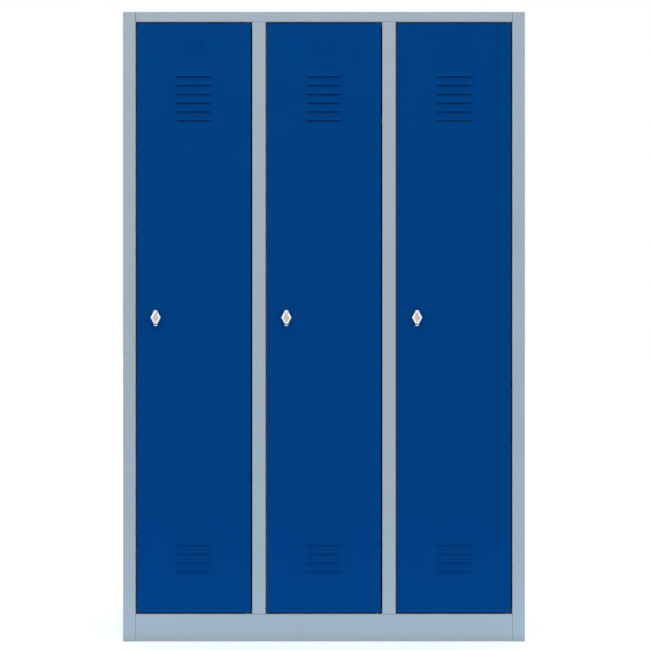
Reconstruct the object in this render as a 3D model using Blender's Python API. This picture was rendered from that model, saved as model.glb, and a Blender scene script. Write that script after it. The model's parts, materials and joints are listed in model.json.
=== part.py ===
"""Steel locker cabinet with three full-height compartments side by side.

Metres, +Z up, the doors face -Y.  The origin is on the floor under the middle of the cabinet,
measured over the latch knobs.  Sheet parts are drawn as their outer face and thickened inwards.
"""

import math

import bmesh
import bpy
from mathutils import Matrix, Vector

# Cabinet
WIDTH = 1.150
HEIGHT = 1.800
DEPTH = 0.500
COMPARTMENTS = ("left", "centre", "right")

# Sheet steel
SHEET = 0.0008
GAP = 0.0003  # between two pieces that touch
LAYER = SHEET + GAP
WELD = 0.000002  # points closer than this are one point
BEND = 0.002
BEND_STEPS = 2
FLANGE = 0.015

# Front frame
STILE = 0.03625
MULLION = 0.03825
TOP_RAIL = 0.0283
PLINTH = 0.078
POCKET = 0.022  # how far the doors' pocket goes back
STOP = 0.014  # flange that the latch side of a door closes against
LIP = 0.010
RAIL_SEAM = 0.0008
PLINTH_SEAM = GAP

# Doors
DOOR_GAP = 0.0042
DOOR_DEPTH = 0.016
DOOR_LIP = 0.012
HINGE_INSET = 0.010  # hinge axis to the door's edge
HINGE_BACK = 0.006  # hinge axis to the door's front face

# Ventilation louvres
LOUVRE_WIDTH = 0.102
LOUVRE_MARGIN = 0.009
LOUVRE_PITCH = 0.025
LOUVRE_HOOD = 0.011
LOUVRE_RISE = 0.0045
LOUVRE_END = 0.009
LOUVRE_END_STEPS = 2
LOUVRE_ROWS = 3
LOUVRE_SLOT = 0.0018
UPPER_LOUVRES = 6
LOWER_LOUVRES = 4
UPPER_LOUVRE_TOP = HEIGHT - 0.186  # slot of the highest louvre in the upper group
LOWER_LOUVRE_TOP = 0.276

# Label frame pressed into the door
LABEL_WIDTH = 0.050
LABEL_HEIGHT = 0.040
LABEL_CENTRE = HEIGHT - 0.099
LABEL_MARGIN = 0.008
LABEL_RISE = 0.0012
LABEL_BEAD = 0.0045
LABEL_SLOPE = 0.0012

# Door stiffener
STIFFENER_FOOT = 0.012
STIFFENER_CROWN = 0.030
STIFFENER_DEPTH = 0.012
STIFFENER_LOW = 0.300
STIFFENER_HIGH = 1.440

# Hinge pins
PIN_RADIUS = 0.003
PIN_HEAD = 0.005
PIN_HEAD_HEIGHT = 0.002
PIN_REACH = 0.012
PIN_CHAMFER = 0.001
PIN_STEPS = 12

# Latch, drawn around its own axis with y = 0 on the door's front face
LATCH_INSET = 0.060  # from the opening's left edge
LATCH_HEIGHT = 0.928
LATCH_PATCH = 0.060  # half the height of the flat patch round the latch hole
KNOB_FRONT = 0.022
KNOB_BACK = 0.017
KNOB_CHAMFER = 0.0022
KNOB_HALF_HEIGHT = 0.01875
KNOB_HALF_WIDTH = 0.0145
KNOB_WIDEST = -0.002
KNOB_CORNER = 0.0015
KNOB_LOBE_RADIUS = 0.0068
KNOB_LOBE_STEPS = 6
KNOB_NECK_HEIGHT = 0.0092
KNOB_NECK = 0.0073
KNOB_FOOT = 0.0057
NECK_RADIUS = 0.0068
SHAFT_RADIUS = 0.0045
SHAFT_END = 0.0237
SQUARE = 0.007
SQUARE_END = 0.0262
PADLOCK_RADIUS = 0.0032
PADLOCK_DROP = 0.0205  # padlock hole below the latch axis
PADLOCK_DEPTH = 0.0068  # padlock hole to the door face
BASE_RADIUS = 0.010
BASE_THICKNESS = 0.0035
SHANK_RADIUS = 0.007
SHANK_REACH = 0.008
LUG_HALF_WIDTH = 0.00525
LUG_TOP = -0.008
LUG_NOSE_TOP = -0.0203
LUG_BOTTOM = -0.0258
LUG_CORNER = 0.003
LUG_CORNER_STEPS = 3
LUG_DEPTH = 0.013
LUG_NOSE_DEPTH = 0.019
NUT_ACROSS_FLATS = 0.020
NUT_THICKNESS = 0.004
CAM_FRONT = 0.024
CAM_THICKNESS = 0.0025
CAM_HUB_RADIUS = 0.009
CAM_TIP_RADIUS = 0.006
CAM_LENGTH = 0.054
SCREW_RADIUS = 0.002
SCREW_HEAD_RADIUS = 0.006
SCREW_HEAD = 0.003
SCREW_REACH = 0.008
SCREW_EDGE = 0.0006
ROUND_STEPS = 20
OVERLAP = 0.001  # between shapes that are joined into one piece

# Rubber buffers on the stop flange
BUFFER_RADIUS = 0.0045
BUFFER_DOME = 0.0015
BUFFER_INSET = 0.0085
BUFFER_HEIGHTS = {"lower": 0.420, "upper": 1.430}

# Hat shelf, coat rail and hooks
SHELF_HEIGHT = 1.500
SHELF_RIM = 0.020
SHELF_SETBACK = 0.035  # shelf edge behind the cabinet's front
TAB_WIDTH = 0.060  # ears under the shelf that hold the coat rail
TAB_DROP = 0.075
RAIL_DROP = 0.050  # rail axis under the shelf
RAIL_HEIGHT = 0.030
RAIL_THICKNESS = 0.015
RAIL_WALL = 0.0012
RAIL_ARC_STEPS = 6
HOOK_OFFSETS = (-0.105, 0.0, 0.105)
HOOK_WIDTH = 0.012
HOOK_BAND = 0.0025
HOOK_WIRE = 0.0025
HOOK_WIRE_SIDES = 2  # bevel resolution
HOOK_ARC_STEPS = 8
HOOK_STEM = 0.018
HOOK_ARC = 0.014
HOOK_TIP = 0.010

# Places that follow from the sizes above
Y_FRONT = -(DEPTH - KNOB_FRONT) / 2
Y_BACK = Y_FRONT + DEPTH
X_SIDE = WIDTH / 2
OPENING_TOP = HEIGHT - TOP_RAIL
OPENING_WIDTH = (WIDTH - 2 * STILE - (len(COMPARTMENTS) - 1) * MULLION) / len(COMPARTMENTS)
PITCH = OPENING_WIDTH + MULLION
Y_POCKET = Y_FRONT + POCKET
Y_RAIL_STOP = Y_POCKET + LAYER
Y_BEHIND_STOP = Y_RAIL_STOP + LAYER
Y_BACK_PANEL = Y_BACK - LAYER  # outer face of the back panel
Y_INSIDE_BACK = Y_BACK_PANEL - LAYER
Z_UNDER_TOP = HEIGHT - LAYER
DOOR_WIDTH = OPENING_WIDTH - 2 * DOOR_GAP
DOOR_LOW = PLINTH + DOOR_GAP
DOOR_HIGH = OPENING_TOP - DOOR_GAP
Y_RAIL_AXIS = (Y_FRONT + SHELF_SETBACK + Y_INSIDE_BACK) / 2
Z_RAIL_AXIS = SHELF_HEIGHT - RAIL_DROP

# Places on a door, where x = 0 and y = 0 on its hinge axis and z = 0 on the floor
DOOR_RIGHT = HINGE_INSET
DOOR_LEFT = DOOR_RIGHT - DOOR_WIDTH
DOOR_MIDDLE = (DOOR_LEFT + DOOR_RIGHT) / 2
DOOR_FRONT = -HINGE_BACK
DOOR_BACK = DOOR_FRONT + DOOR_DEPTH
LATCH_X = LATCH_INSET - DOOR_GAP + DOOR_LEFT


def opening_left(index):
    return -X_SIDE + STILE + index * PITCH


def mullion_centre(index):
    return opening_left(index) + OPENING_WIDTH + MULLION / 2


def inside_walls(index):
    """X of the two wall faces of a compartment."""
    left = -X_SIDE + SHEET if index == 0 else mullion_centre(index - 1)
    last = index == len(COMPARTMENTS) - 1
    right = X_SIDE - SHEET if last else mullion_centre(index) - SHEET
    return left, right


# Materials


def material(name, colour, roughness, metallic=0.0):
    made = bpy.data.materials.new(name)
    made.use_nodes = True
    shader = made.node_tree.nodes["Principled BSDF"]
    shader.inputs["Base Color"].default_value = (*colour, 1.0)
    shader.inputs["Roughness"].default_value = roughness
    shader.inputs["Metallic"].default_value = metallic
    made.diffuse_color = (*colour, 1.0)
    return made


def make_materials():
    return {
        "body": material("grey_powder_coat", (0.37, 0.45, 0.52), 0.45),
        "door": material("blue_powder_coat", (0.002, 0.053, 0.227), 0.45),
        "zinc": material("nickelled_zinc", (0.66, 0.65, 0.62), 0.28, 1.0),
        "steel": material("plated_steel", (0.55, 0.56, 0.57), 0.35, 1.0),
        "rubber": material("black_rubber", (0.02, 0.02, 0.02), 0.8),
        "plastic": material("grey_nylon", (0.12, 0.13, 0.14), 0.5),
    }


# Mesh helpers


def mesh_from(bm, name):
    mesh = bpy.data.meshes.new(name)
    bm.to_mesh(mesh)
    bm.free()
    return mesh


def evaluated(mesh, add_modifiers):
    """The mesh after the modifiers that add_modifiers puts on an object of it, with tiny edges closed."""
    collection = bpy.context.scene.collection
    holder = bpy.data.objects.new("holder", mesh)
    collection.objects.link(holder)
    helpers = add_modifiers(holder) or []
    bpy.context.view_layer.update()
    depsgraph = bpy.context.evaluated_depsgraph_get()
    result = bpy.data.meshes.new_from_object(holder.evaluated_get(depsgraph))
    for item in [holder, *helpers]:
        bpy.data.objects.remove(item)
    bm = bmesh.new()
    bm.from_mesh(result)
    bmesh.ops.remove_doubles(bm, verts=bm.verts, dist=WELD)
    bmesh.ops.dissolve_degenerate(bm, edges=bm.edges, dist=WELD)
    bm.to_mesh(result)
    bm.free()
    return result


def combine(mesh, tools, operation):
    """Boolean of the mesh with each tool mesh in turn."""

    def add_modifiers(holder):
        helpers = []
        for tool in tools:
            helper = bpy.data.objects.new("helper", tool)
            bpy.context.scene.collection.objects.link(helper)
            modifier = holder.modifiers.new("combine", "BOOLEAN")
            modifier.operation = operation
            modifier.object = helper
            helpers.append(helper)
        return helpers

    return evaluated(mesh, add_modifiers)


def thicken(mesh):
    """Give a surface the sheet's thickness, inwards."""

    def add_modifiers(holder):
        modifier = holder.modifiers.new("sheet", "SOLIDIFY")
        modifier.thickness = SHEET
        modifier.offset = -1
        modifier.use_even_offset = True
        modifier.use_quality_normals = True

    return evaluated(mesh, add_modifiers)


def round_bends(bm, angle=math.radians(60)):
    bends = [e for e in bm.edges if len(e.link_faces) == 2 and e.calc_face_angle() > angle]
    bmesh.ops.bevel(bm, geom=bends, offset=BEND, segments=BEND_STEPS, profile=0.5, affect="EDGES")


class Surface:
    """Faces that share their corner points."""

    def __init__(self):
        self.bm = bmesh.new()
        self.points = {}

    def point(self, corner):
        key = tuple(round(value, 6) for value in corner)
        if key not in self.points:
            self.points[key] = self.bm.verts.new(key)
        return self.points[key]

    def face(self, corners):
        self.bm.faces.new([self.point(corner) for corner in corners])


def folded_sheet(outline, start, end, along, spans=None):
    """Folded sheet of one section; the outline's right-hand side is the outer face.

    The outline is in (x, y) for a sheet along Z and in (y, z) for one along X.  spans gives the
    segments that start or end elsewhere.
    """
    spans = spans or {}
    levels = sorted({start, end}.union(*spans.values()) if spans else {start, end})
    surface = Surface()

    def place(point, level):
        return (*point, level) if along == "Z" else (level, *point)

    for index, (first, second) in enumerate(zip(outline, outline[1:])):
        low, high = spans.get(index, (start, end))
        for below, above in zip(levels, levels[1:]):
            if below >= low and above <= high:
                surface.face(
                    [place(first, below), place(second, below), place(second, above), place(first, above)]
                )
    round_bends(surface.bm)
    return thicken(mesh_from(surface.bm, "folded_sheet"))


def box_faces(low, high):
    """Name and corners of each side of a box, seen from outside."""
    (x0, y0, z0), (x1, y1, z1) = low, high
    return {
        "-x": [(x0, y1, z0), (x0, y0, z0), (x0, y0, z1), (x0, y1, z1)],
        "+x": [(x1, y0, z0), (x1, y1, z0), (x1, y1, z1), (x1, y0, z1)],
        "-y": [(x0, y0, z0), (x1, y0, z0), (x1, y0, z1), (x0, y0, z1)],
        "+y": [(x1, y1, z0), (x0, y1, z0), (x0, y1, z1), (x1, y1, z1)],
        "-z": [(x0, y1, z0), (x1, y1, z0), (x1, y0, z0), (x0, y0, z0)],
        "+z": [(x0, y0, z1), (x1, y0, z1), (x1, y1, z1), (x0, y1, z1)],
    }


def tray(low, high, open_sides):
    """Panel with folded flanges: a sheet box without its open sides."""
    surface = Surface()
    for side, corners in box_faces(low, high).items():
        if side not in open_sides:
            surface.face(corners)
    round_bends(surface.bm)
    return thicken(mesh_from(surface.bm, "tray"))


def block(low, high):
    surface = Surface()
    for corners in box_faces(low, high).values():
        surface.face(corners)
    return mesh_from(surface.bm, "block")


def prism(outline, start, end, along, chamfer=0.0):
    """Closed outline extruded along an axis; chamfer slopes its start face's edge."""
    bm = bmesh.new()
    frames = {"X": (1, 2, 0), "Y": (2, 0, 1), "Z": (0, 1, 2)}
    u_axis, v_axis, w_axis = frames[along]

    def point(pair, level):
        place = [0.0, 0.0, 0.0]
        place[u_axis], place[v_axis], place[w_axis] = pair[0], pair[1], level
        return place

    ring = [bm.verts.new(point(pair, start)) for pair in outline]
    front = bm.faces.new(ring)
    made = bmesh.ops.extrude_face_region(bm, geom=[front])
    shift = Vector(point((0.0, 0.0), end - start))
    bmesh.ops.translate(bm, vec=shift, verts=[v for v in made["geom"] if isinstance(v, bmesh.types.BMVert)])
    if chamfer:
        rim = [edge for edge in bm.edges if all(abs(v.co[w_axis] - start) < 1e-7 for v in edge.verts)]
        bmesh.ops.bevel(bm, geom=rim, offset=chamfer, segments=1, profile=0.5, affect="EDGES")
    bmesh.ops.recalc_face_normals(bm, faces=bm.faces)
    return mesh_from(bm, "prism")


def arc(centre, radius, start, end, steps):
    """Points on an arc, angles in degrees."""
    angles = [math.radians(start + (end - start) * step / steps) for step in range(steps + 1)]
    return [(centre[0] + radius * math.cos(a), centre[1] + radius * math.sin(a)) for a in angles]


def turned(profile, along, steps=ROUND_STEPS):
    """Round piece: (radius, height) points turned about an axis through the origin."""
    bm = bmesh.new()
    verts = [bm.verts.new((radius, 0.0, height)) for radius, height in profile]
    edges = [bm.edges.new(pair) for pair in zip(verts, verts[1:])]
    turn = {"geom": verts + edges, "cent": (0, 0, 0), "axis": (0, 0, 1), "angle": math.tau}
    bmesh.ops.spin(bm, steps=steps, use_merge=True, **turn)
    bmesh.ops.remove_doubles(bm, verts=bm.verts, dist=WELD)
    bmesh.ops.dissolve_degenerate(bm, edges=bm.edges, dist=WELD)
    if along == "Y":
        bmesh.ops.rotate(bm, verts=bm.verts, matrix=Matrix.Rotation(math.radians(-90), 3, "X"))
    elif along == "X":
        bmesh.ops.rotate(bm, verts=bm.verts, matrix=Matrix.Rotation(math.radians(90), 3, "Y"))
    bmesh.ops.recalc_face_normals(bm, faces=bm.faces)
    return mesh_from(bm, "turned")


def rod(radius, start, end, along, steps=ROUND_STEPS):
    return turned([(0, start), (radius, start), (radius, end), (0, end)], along, steps)


def moved(mesh, offset):
    mesh.transform(Matrix.Translation(offset))
    return mesh


def add(name, mesh, look, location=(0, 0, 0), parent=None):
    """Put a mesh in the scene as a named sub-part."""
    mesh.materials.clear()
    mesh.materials.append(look)
    mesh.shade_smooth()
    mesh.set_sharp_from_angle(angle=math.radians(35))
    piece = bpy.data.objects.new(name, mesh)
    piece.location = location
    piece.parent = parent
    bpy.context.scene.collection.objects.link(piece)
    return piece


def pivot(name, location, parent=None):
    """Empty on a joint's axis."""
    empty = bpy.data.objects.new(name, None)
    empty.empty_display_size = 0.03
    empty.location = location
    empty.parent = parent
    bpy.context.scene.collection.objects.link(empty)
    return empty


# Carcass


def side_panels(looks):
    """Side panels, folded round at the front into the outer stiles."""
    stop_span = (PLINTH + LIP + GAP, OPENING_TOP - LIP - GAP)
    return_span = (0.0, Z_UNDER_TOP)
    left = [
        (-X_SIDE + FLANGE, Y_BACK),
        (-X_SIDE, Y_BACK),
        (-X_SIDE, Y_FRONT),
        (-X_SIDE + STILE, Y_FRONT),
        (-X_SIDE + STILE, Y_POCKET),
        (-X_SIDE + STILE + STOP, Y_POCKET),
    ]
    right = [
        (X_SIDE - STILE + LIP, Y_POCKET),
        (X_SIDE - STILE, Y_POCKET),
        (X_SIDE - STILE, Y_FRONT),
        (X_SIDE, Y_FRONT),
        (X_SIDE, Y_BACK),
        (X_SIDE - FLANGE, Y_BACK),
    ]
    left_mesh = folded_sheet(left, 0.0, HEIGHT, "Z", {3: return_span, 4: stop_span})
    right_mesh = folded_sheet(right, 0.0, HEIGHT, "Z", {0: return_span, 1: return_span})
    add("left_side_panel", left_mesh, looks["body"])
    add("right_side_panel", right_mesh, looks["body"])


def back_panel(looks):
    reach = X_SIDE - LAYER
    back = [(reach, Y_BACK_PANEL), (-reach, Y_BACK_PANEL)]
    add("back_panel", folded_sheet(back, 0.0, HEIGHT, "Z"), looks["body"])


def top_panel(looks):
    reach = X_SIDE - LAYER
    low = (-reach, Y_FRONT + LAYER, HEIGHT - FLANGE)
    high = (reach, Y_INSIDE_BACK, HEIGHT)
    add("top_panel", tray(low, high, {"-z", "-y", "+y"}), looks["body"])


def bottom_panel(looks):
    reach = X_SIDE - LAYER
    low = (-reach, Y_BEHIND_STOP, PLINTH - FLANGE)
    high = (reach, Y_INSIDE_BACK, PLINTH)
    add("bottom_panel", tray(low, high, {"-z"}), looks["body"])


def hinge_x(index):
    return opening_left(index) + OPENING_WIDTH - DOOR_GAP - HINGE_INSET


def hinge_holes(z):
    """Cutters for the pins of all the doors, through a flange at height z."""
    cutters = []
    for index in range(len(COMPARTMENTS)):
        cutter = rod(PIN_RADIUS + GAP, z - LIP, z + LIP, "Z", PIN_STEPS)
        cutters.append(moved(cutter, (hinge_x(index), Y_FRONT + HINGE_BACK, 0.0)))
    return cutters


def front_rails(looks):
    """Rail over the doors and plinth under them, each with the flange that holds the pins."""
    reach = X_SIDE - STILE
    top = [
        (Y_FRONT, HEIGHT),
        (Y_FRONT, OPENING_TOP),
        (Y_RAIL_STOP, OPENING_TOP),
        (Y_RAIL_STOP, OPENING_TOP - LIP),
    ]
    top_mesh = folded_sheet(top, -reach + RAIL_SEAM, reach - RAIL_SEAM, "X")
    top_mesh = combine(top_mesh, hinge_holes(OPENING_TOP), "DIFFERENCE")
    add("top_front_rail", top_mesh, looks["body"])
    plinth = [
        (Y_RAIL_STOP, PLINTH + LIP),
        (Y_RAIL_STOP, PLINTH),
        (Y_FRONT, PLINTH),
        (Y_FRONT, 0.0),
        (Y_FRONT + FLANGE, 0.0),
    ]
    plinth_mesh = folded_sheet(plinth, -reach + PLINTH_SEAM, reach - PLINTH_SEAM, "X")
    plinth_mesh = combine(plinth_mesh, hinge_holes(PLINTH), "DIFFERENCE")
    add("plinth_front", plinth_mesh, looks["body"])


def mullion(index, name, looks):
    """Channel between two doors: hinge side on its left, stop flange on its right."""
    left = opening_left(index) + OPENING_WIDTH
    right = left + MULLION
    outline = [
        (left + LIP, Y_POCKET),
        (left, Y_POCKET),
        (left, Y_FRONT),
        (right, Y_FRONT),
        (right, Y_POCKET),
        (right + STOP, Y_POCKET),
    ]
    clear_of_lips = (PLINTH + LIP + GAP, OPENING_TOP - LIP - GAP)
    spans = {0: clear_of_lips, 4: clear_of_lips}
    mesh = folded_sheet(outline, PLINTH + GAP, OPENING_TOP - GAP, "Z", spans)
    add(name, mesh, looks["body"])


def partition(index, name, looks):
    """Wall between two compartments, with a weld flange inside the mullion and one at the back."""
    x = mullion_centre(index)
    front = Y_FRONT + 2 * LAYER
    outline = [
        (x + LIP, front),
        (x, front),
        (x, Y_BEHIND_STOP),
        (x, Y_INSIDE_BACK),
        (x - FLANGE, Y_INSIDE_BACK),
    ]
    clear_of_lips = (PLINTH + LIP + GAP, OPENING_TOP - LIP - GAP)
    spans = {0: clear_of_lips, 1: clear_of_lips}
    mesh = folded_sheet(outline, PLINTH + GAP, Z_UNDER_TOP, "Z", spans)
    add(name, mesh, looks["body"])


# Doors, drawn from their hinge axis


def louvre(surface, top_of_cell, slot):
    """One pressed hood over a slot, in a cell one pitch high."""
    half_cell = LOUVRE_WIDTH / 2 + LOUVRE_MARGIN
    half = LOUVRE_WIDTH / 2
    ends = [LOUVRE_END * step / LOUVRE_END_STEPS for step in range(LOUVRE_END_STEPS + 1)]
    columns = [(-half + end, end) for end in ends] + [(half - end, end) for end in reversed(ends)]
    lip = slot + LOUVRE_SLOT / 2
    foot = slot - LOUVRE_SLOT / 2

    def hood_point(column, row):
        x, end = column
        across = math.sin(math.pi / 2 * end / LOUVRE_END)
        down = math.sin(math.pi / 2 * row / LOUVRE_ROWS)
        z = lip + LOUVRE_HOOD * (1 - row / LOUVRE_ROWS)
        return (DOOR_MIDDLE + x, DOOR_FRONT - LOUVRE_RISE * across * down, z)

    def flat(x, z):
        return (DOOR_MIDDLE + x, DOOR_FRONT, z)

    for left, right in zip(columns, columns[1:]):
        for row in range(LOUVRE_ROWS):
            surface.face(
                [
                    hood_point(left, row + 1),
                    hood_point(right, row + 1),
                    hood_point(right, row),
                    hood_point(left, row),
                ]
            )
    bottom_of_cell = top_of_cell - LOUVRE_PITCH
    rows = range(LOUVRE_ROWS + 1)
    top_edge = [hood_point(column, 0) for column in columns]
    left_edge = [hood_point(columns[0], row) for row in reversed(rows)]
    right_edge = [hood_point(columns[-1], row) for row in rows]
    surface.face(top_edge + [flat(half_cell, top_of_cell), flat(-half_cell, top_of_cell)])
    surface.face(
        [flat(-half_cell, bottom_of_cell), flat(-half, foot)] + left_edge + [flat(-half_cell, top_of_cell)]
    )
    surface.face(
        [flat(half, foot), flat(half_cell, bottom_of_cell), flat(half_cell, top_of_cell)] + right_edge
    )
    surface.face(
        [
            flat(-half_cell, bottom_of_cell),
            flat(half_cell, bottom_of_cell),
            flat(half, foot),
            flat(-half, foot),
        ]
    )


def louvre_group(surface, top_slot, count):
    """A column of louvres; gives the heights where its cells start and end, highest first."""
    over_slot = LOUVRE_HOOD + (LOUVRE_PITCH - LOUVRE_HOOD) / 2
    heights = [top_slot + over_slot - LOUVRE_PITCH * number for number in range(count + 1)]
    for height in heights[:-1]:
        louvre(surface, height, height - over_slot)
    return heights


def label_frame(surface, low, high):
    """Raised bead round the label, pressed in the strip of door between two heights."""
    half_cell = LOUVRE_WIDTH / 2 + LOUVRE_MARGIN
    centre = (low + high) / 2

    def rectangle(half_width, half_height, rise):
        corners = [(-1, -1), (1, -1), (1, 1), (-1, 1)]
        return [
            (DOOR_MIDDLE + sx * half_width, DOOR_FRONT - rise, centre + sz * half_height)
            for sx, sz in corners
        ]

    rings = [rectangle(half_cell, (high - low) / 2, 0.0)]
    for inset, rise in (
        (0.0, 0.0),
        (LABEL_SLOPE, LABEL_RISE),
        (LABEL_BEAD - LABEL_SLOPE, LABEL_RISE),
        (LABEL_BEAD, 0.0),
    ):
        rings.append(rectangle(LABEL_WIDTH / 2 - inset, LABEL_HEIGHT / 2 - inset, rise))
    for outer, inner in zip(rings, rings[1:]):
        for corner in range(4):
            after = (corner + 1) % 4
            surface.face([outer[corner], outer[after], inner[after], inner[corner]])
    surface.face(rings[-1])


def door_mesh():
    """Door skin with pressed louvres and label frame, and edges folded back and in."""
    surface = Surface()
    half_cell = LOUVRE_WIDTH / 2 + LOUVRE_MARGIN
    left, right = DOOR_MIDDLE - half_cell, DOOR_MIDDLE + half_cell
    upper = louvre_group(surface, UPPER_LOUVRE_TOP, UPPER_LOUVRES)
    lower = louvre_group(surface, LOWER_LOUVRE_TOP, LOWER_LOUVRES)
    label_reach = LABEL_HEIGHT / 2 + LABEL_MARGIN
    label = [LABEL_CENTRE + label_reach, LABEL_CENTRE - label_reach]
    label_frame(surface, label[1], label[0])
    latch = [LATCH_HEIGHT + LATCH_PATCH, LATCH_HEIGHT - LATCH_PATCH]
    levels = [DOOR_HIGH, *label, *upper, *latch, *lower, DOOR_LOW]
    plain = [(DOOR_HIGH, label[0]), (label[1], upper[0]), (lower[-1], DOOR_LOW)]
    plain += [(upper[-1], latch[0]), latch, (latch[1], lower[0])]
    strips = [[(left, low), (right, low), (right, high), (left, high)] for high, low in plain]
    for high, low in ((DOOR_HIGH, latch[0]), latch, (latch[1], DOOR_LOW)):
        between = [z for z in levels if low <= z <= high]
        strips.append([(left, z) for z in reversed(between)] + [(DOOR_LEFT, high), (DOOR_LEFT, low)])
        strips.append([(right, z) for z in between] + [(DOOR_RIGHT, low), (DOOR_RIGHT, high)])
    for strip in strips:
        surface.face([(x, DOOR_FRONT, z) for x, z in strip])
    for z, columns in (
        (DOOR_LOW, (DOOR_LEFT, left, right, DOOR_RIGHT)),
        (DOOR_HIGH, (DOOR_RIGHT, right, left, DOOR_LEFT)),
    ):
        front = [(x, DOOR_FRONT, z) for x in reversed(columns)]
        surface.face(front + [(columns[0], DOOR_BACK, z), (columns[-1], DOOR_BACK, z)])
    edge = [DOOR_LOW, latch[1], latch[0], DOOR_HIGH]
    for x, front_levels in ((DOOR_LEFT, edge), (DOOR_RIGHT, edge[::-1])):
        front = [(x, DOOR_FRONT, z) for z in front_levels]
        surface.face(front + [(x, DOOR_BACK, front_levels[-1]), (x, DOOR_BACK, front_levels[0])])
    outer = [(DOOR_RIGHT, DOOR_LOW), (DOOR_LEFT, DOOR_LOW), (DOOR_LEFT, DOOR_HIGH), (DOOR_RIGHT, DOOR_HIGH)]
    inner = [
        (x + math.copysign(DOOR_LIP, DOOR_MIDDLE - x), z + math.copysign(DOOR_LIP, HEIGHT / 2 - z))
        for x, z in outer
    ]
    for corner in range(4):
        after = (corner + 1) % 4
        ring = [outer[corner], outer[after], inner[after], inner[corner]]
        surface.face([(x, DOOR_BACK, z) for x, z in ring])
    round_bends(surface.bm)
    mesh = thicken(mesh_from(surface.bm, "door"))
    latch_hole = rod(SHANK_RADIUS + GAP, -LIP, LIP, "Y")
    cutters = [moved(latch_hole, (LATCH_X, DOOR_FRONT, LATCH_HEIGHT))]
    for z in (DOOR_LOW, DOOR_HIGH):
        cutters.append(moved(rod(PIN_RADIUS + GAP, -LIP, LIP, "Z", PIN_STEPS), (0.0, 0.0, z)))
    return combine(mesh, cutters, "DIFFERENCE")


def stiffener_mesh():
    """Hat-section strip welded to the back of the door skin."""
    foot = DOOR_FRONT + LAYER
    crown = foot + STIFFENER_DEPTH
    half = STIFFENER_CROWN / 2
    outline = [
        (DOOR_MIDDLE - half - STIFFENER_FOOT, foot),
        (DOOR_MIDDLE - half, foot),
        (DOOR_MIDDLE - half, crown),
        (DOOR_MIDDLE + half, crown),
        (DOOR_MIDDLE + half, foot),
        (DOOR_MIDDLE + half + STIFFENER_FOOT, foot),
    ]
    return folded_sheet(outline, STIFFENER_LOW, STIFFENER_HIGH, "Z")


def lower_pin_mesh():
    """Moulded pin whose shoulder carries the door, z = 0 on the plinth's flange."""
    shoulder = DOOR_GAP - GAP
    profile = [
        (0.0, -LAYER - PIN_HEAD_HEIGHT),
        (PIN_HEAD, -LAYER - PIN_HEAD_HEIGHT),
        (PIN_HEAD, -LAYER),
        (PIN_RADIUS, -LAYER),
        (PIN_RADIUS, GAP),
        (PIN_HEAD, GAP),
        (PIN_HEAD, shoulder),
        (PIN_RADIUS, shoulder),
        (PIN_RADIUS, PIN_REACH),
        (PIN_RADIUS - PIN_CHAMFER, PIN_REACH + PIN_CHAMFER),
        (0.0, PIN_REACH + PIN_CHAMFER),
    ]
    return turned(profile, "Z", PIN_STEPS)


def upper_pin_mesh():
    """Headed pin dropped through the rail's flange, z = 0 on the flange's lower face."""
    profile = [
        (0.0, -PIN_REACH - PIN_CHAMFER),
        (PIN_RADIUS - PIN_CHAMFER, -PIN_REACH - PIN_CHAMFER),
        (PIN_RADIUS, -PIN_REACH),
        (PIN_RADIUS, LAYER),
        (PIN_HEAD, LAYER),
        (PIN_HEAD, LAYER + PIN_HEAD_HEIGHT),
        (0.0, LAYER + PIN_HEAD_HEIGHT),
    ]
    return turned(profile, "Z", PIN_STEPS)


# Latch, drawn around its own axis with y = 0 on the door's front face


def knob_outline():
    """Rhombic grip with a rounded lobe at its top and a blunt foot, as (z, x) points."""
    lobe_centre = KNOB_HALF_HEIGHT - KNOB_LOBE_RADIUS
    lobe = arc((lobe_centre, 0.0), KNOB_LOBE_RADIUS, -90, 90, KNOB_LOBE_STEPS)
    right = [
        (KNOB_NECK_HEIGHT, KNOB_NECK),
        (KNOB_WIDEST + KNOB_CORNER, KNOB_HALF_WIDTH - KNOB_CORNER / 3),
        (KNOB_WIDEST, KNOB_HALF_WIDTH),
        (KNOB_WIDEST - KNOB_CORNER, KNOB_HALF_WIDTH - KNOB_CORNER / 3),
        (-KNOB_HALF_HEIGHT, KNOB_FOOT),
    ]
    return lobe + right + [(z, -x) for z, x in reversed(right)]


def knob_mesh():
    """Die-cast grip, neck and shaft with a square end."""
    grip = prism(knob_outline(), -KNOB_FRONT, -KNOB_BACK, "Y", KNOB_CHAMFER)
    neck = rod(NECK_RADIUS, -KNOB_BACK - OVERLAP, -BASE_THICKNESS - 2 * GAP, "Y")
    shaft = rod(SHAFT_RADIUS, -KNOB_BACK, SHAFT_END, "Y")
    half = SQUARE / 2
    square = block((-half, SHAFT_END - OVERLAP, -half), (half, SQUARE_END, half))
    body = combine(grip, [neck, shaft, square], "UNION")
    screw_hole = rod(SCREW_RADIUS + GAP, SQUARE_END - SCREW_REACH, SQUARE_END + OVERLAP, "Y")
    return combine(body, [screw_hole], "DIFFERENCE")


def lug_outline(top):
    """Front view of the padlock lug, round at its lower corners, as (z, x) points."""
    corner = (LUG_BOTTOM + LUG_CORNER, LUG_HALF_WIDTH - LUG_CORNER)
    right = [(top, LUG_HALF_WIDTH)] + arc(corner, LUG_CORNER, 90, 180, LUG_CORNER_STEPS)
    return right + [(z, -x) for z, x in reversed(right)]


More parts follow.
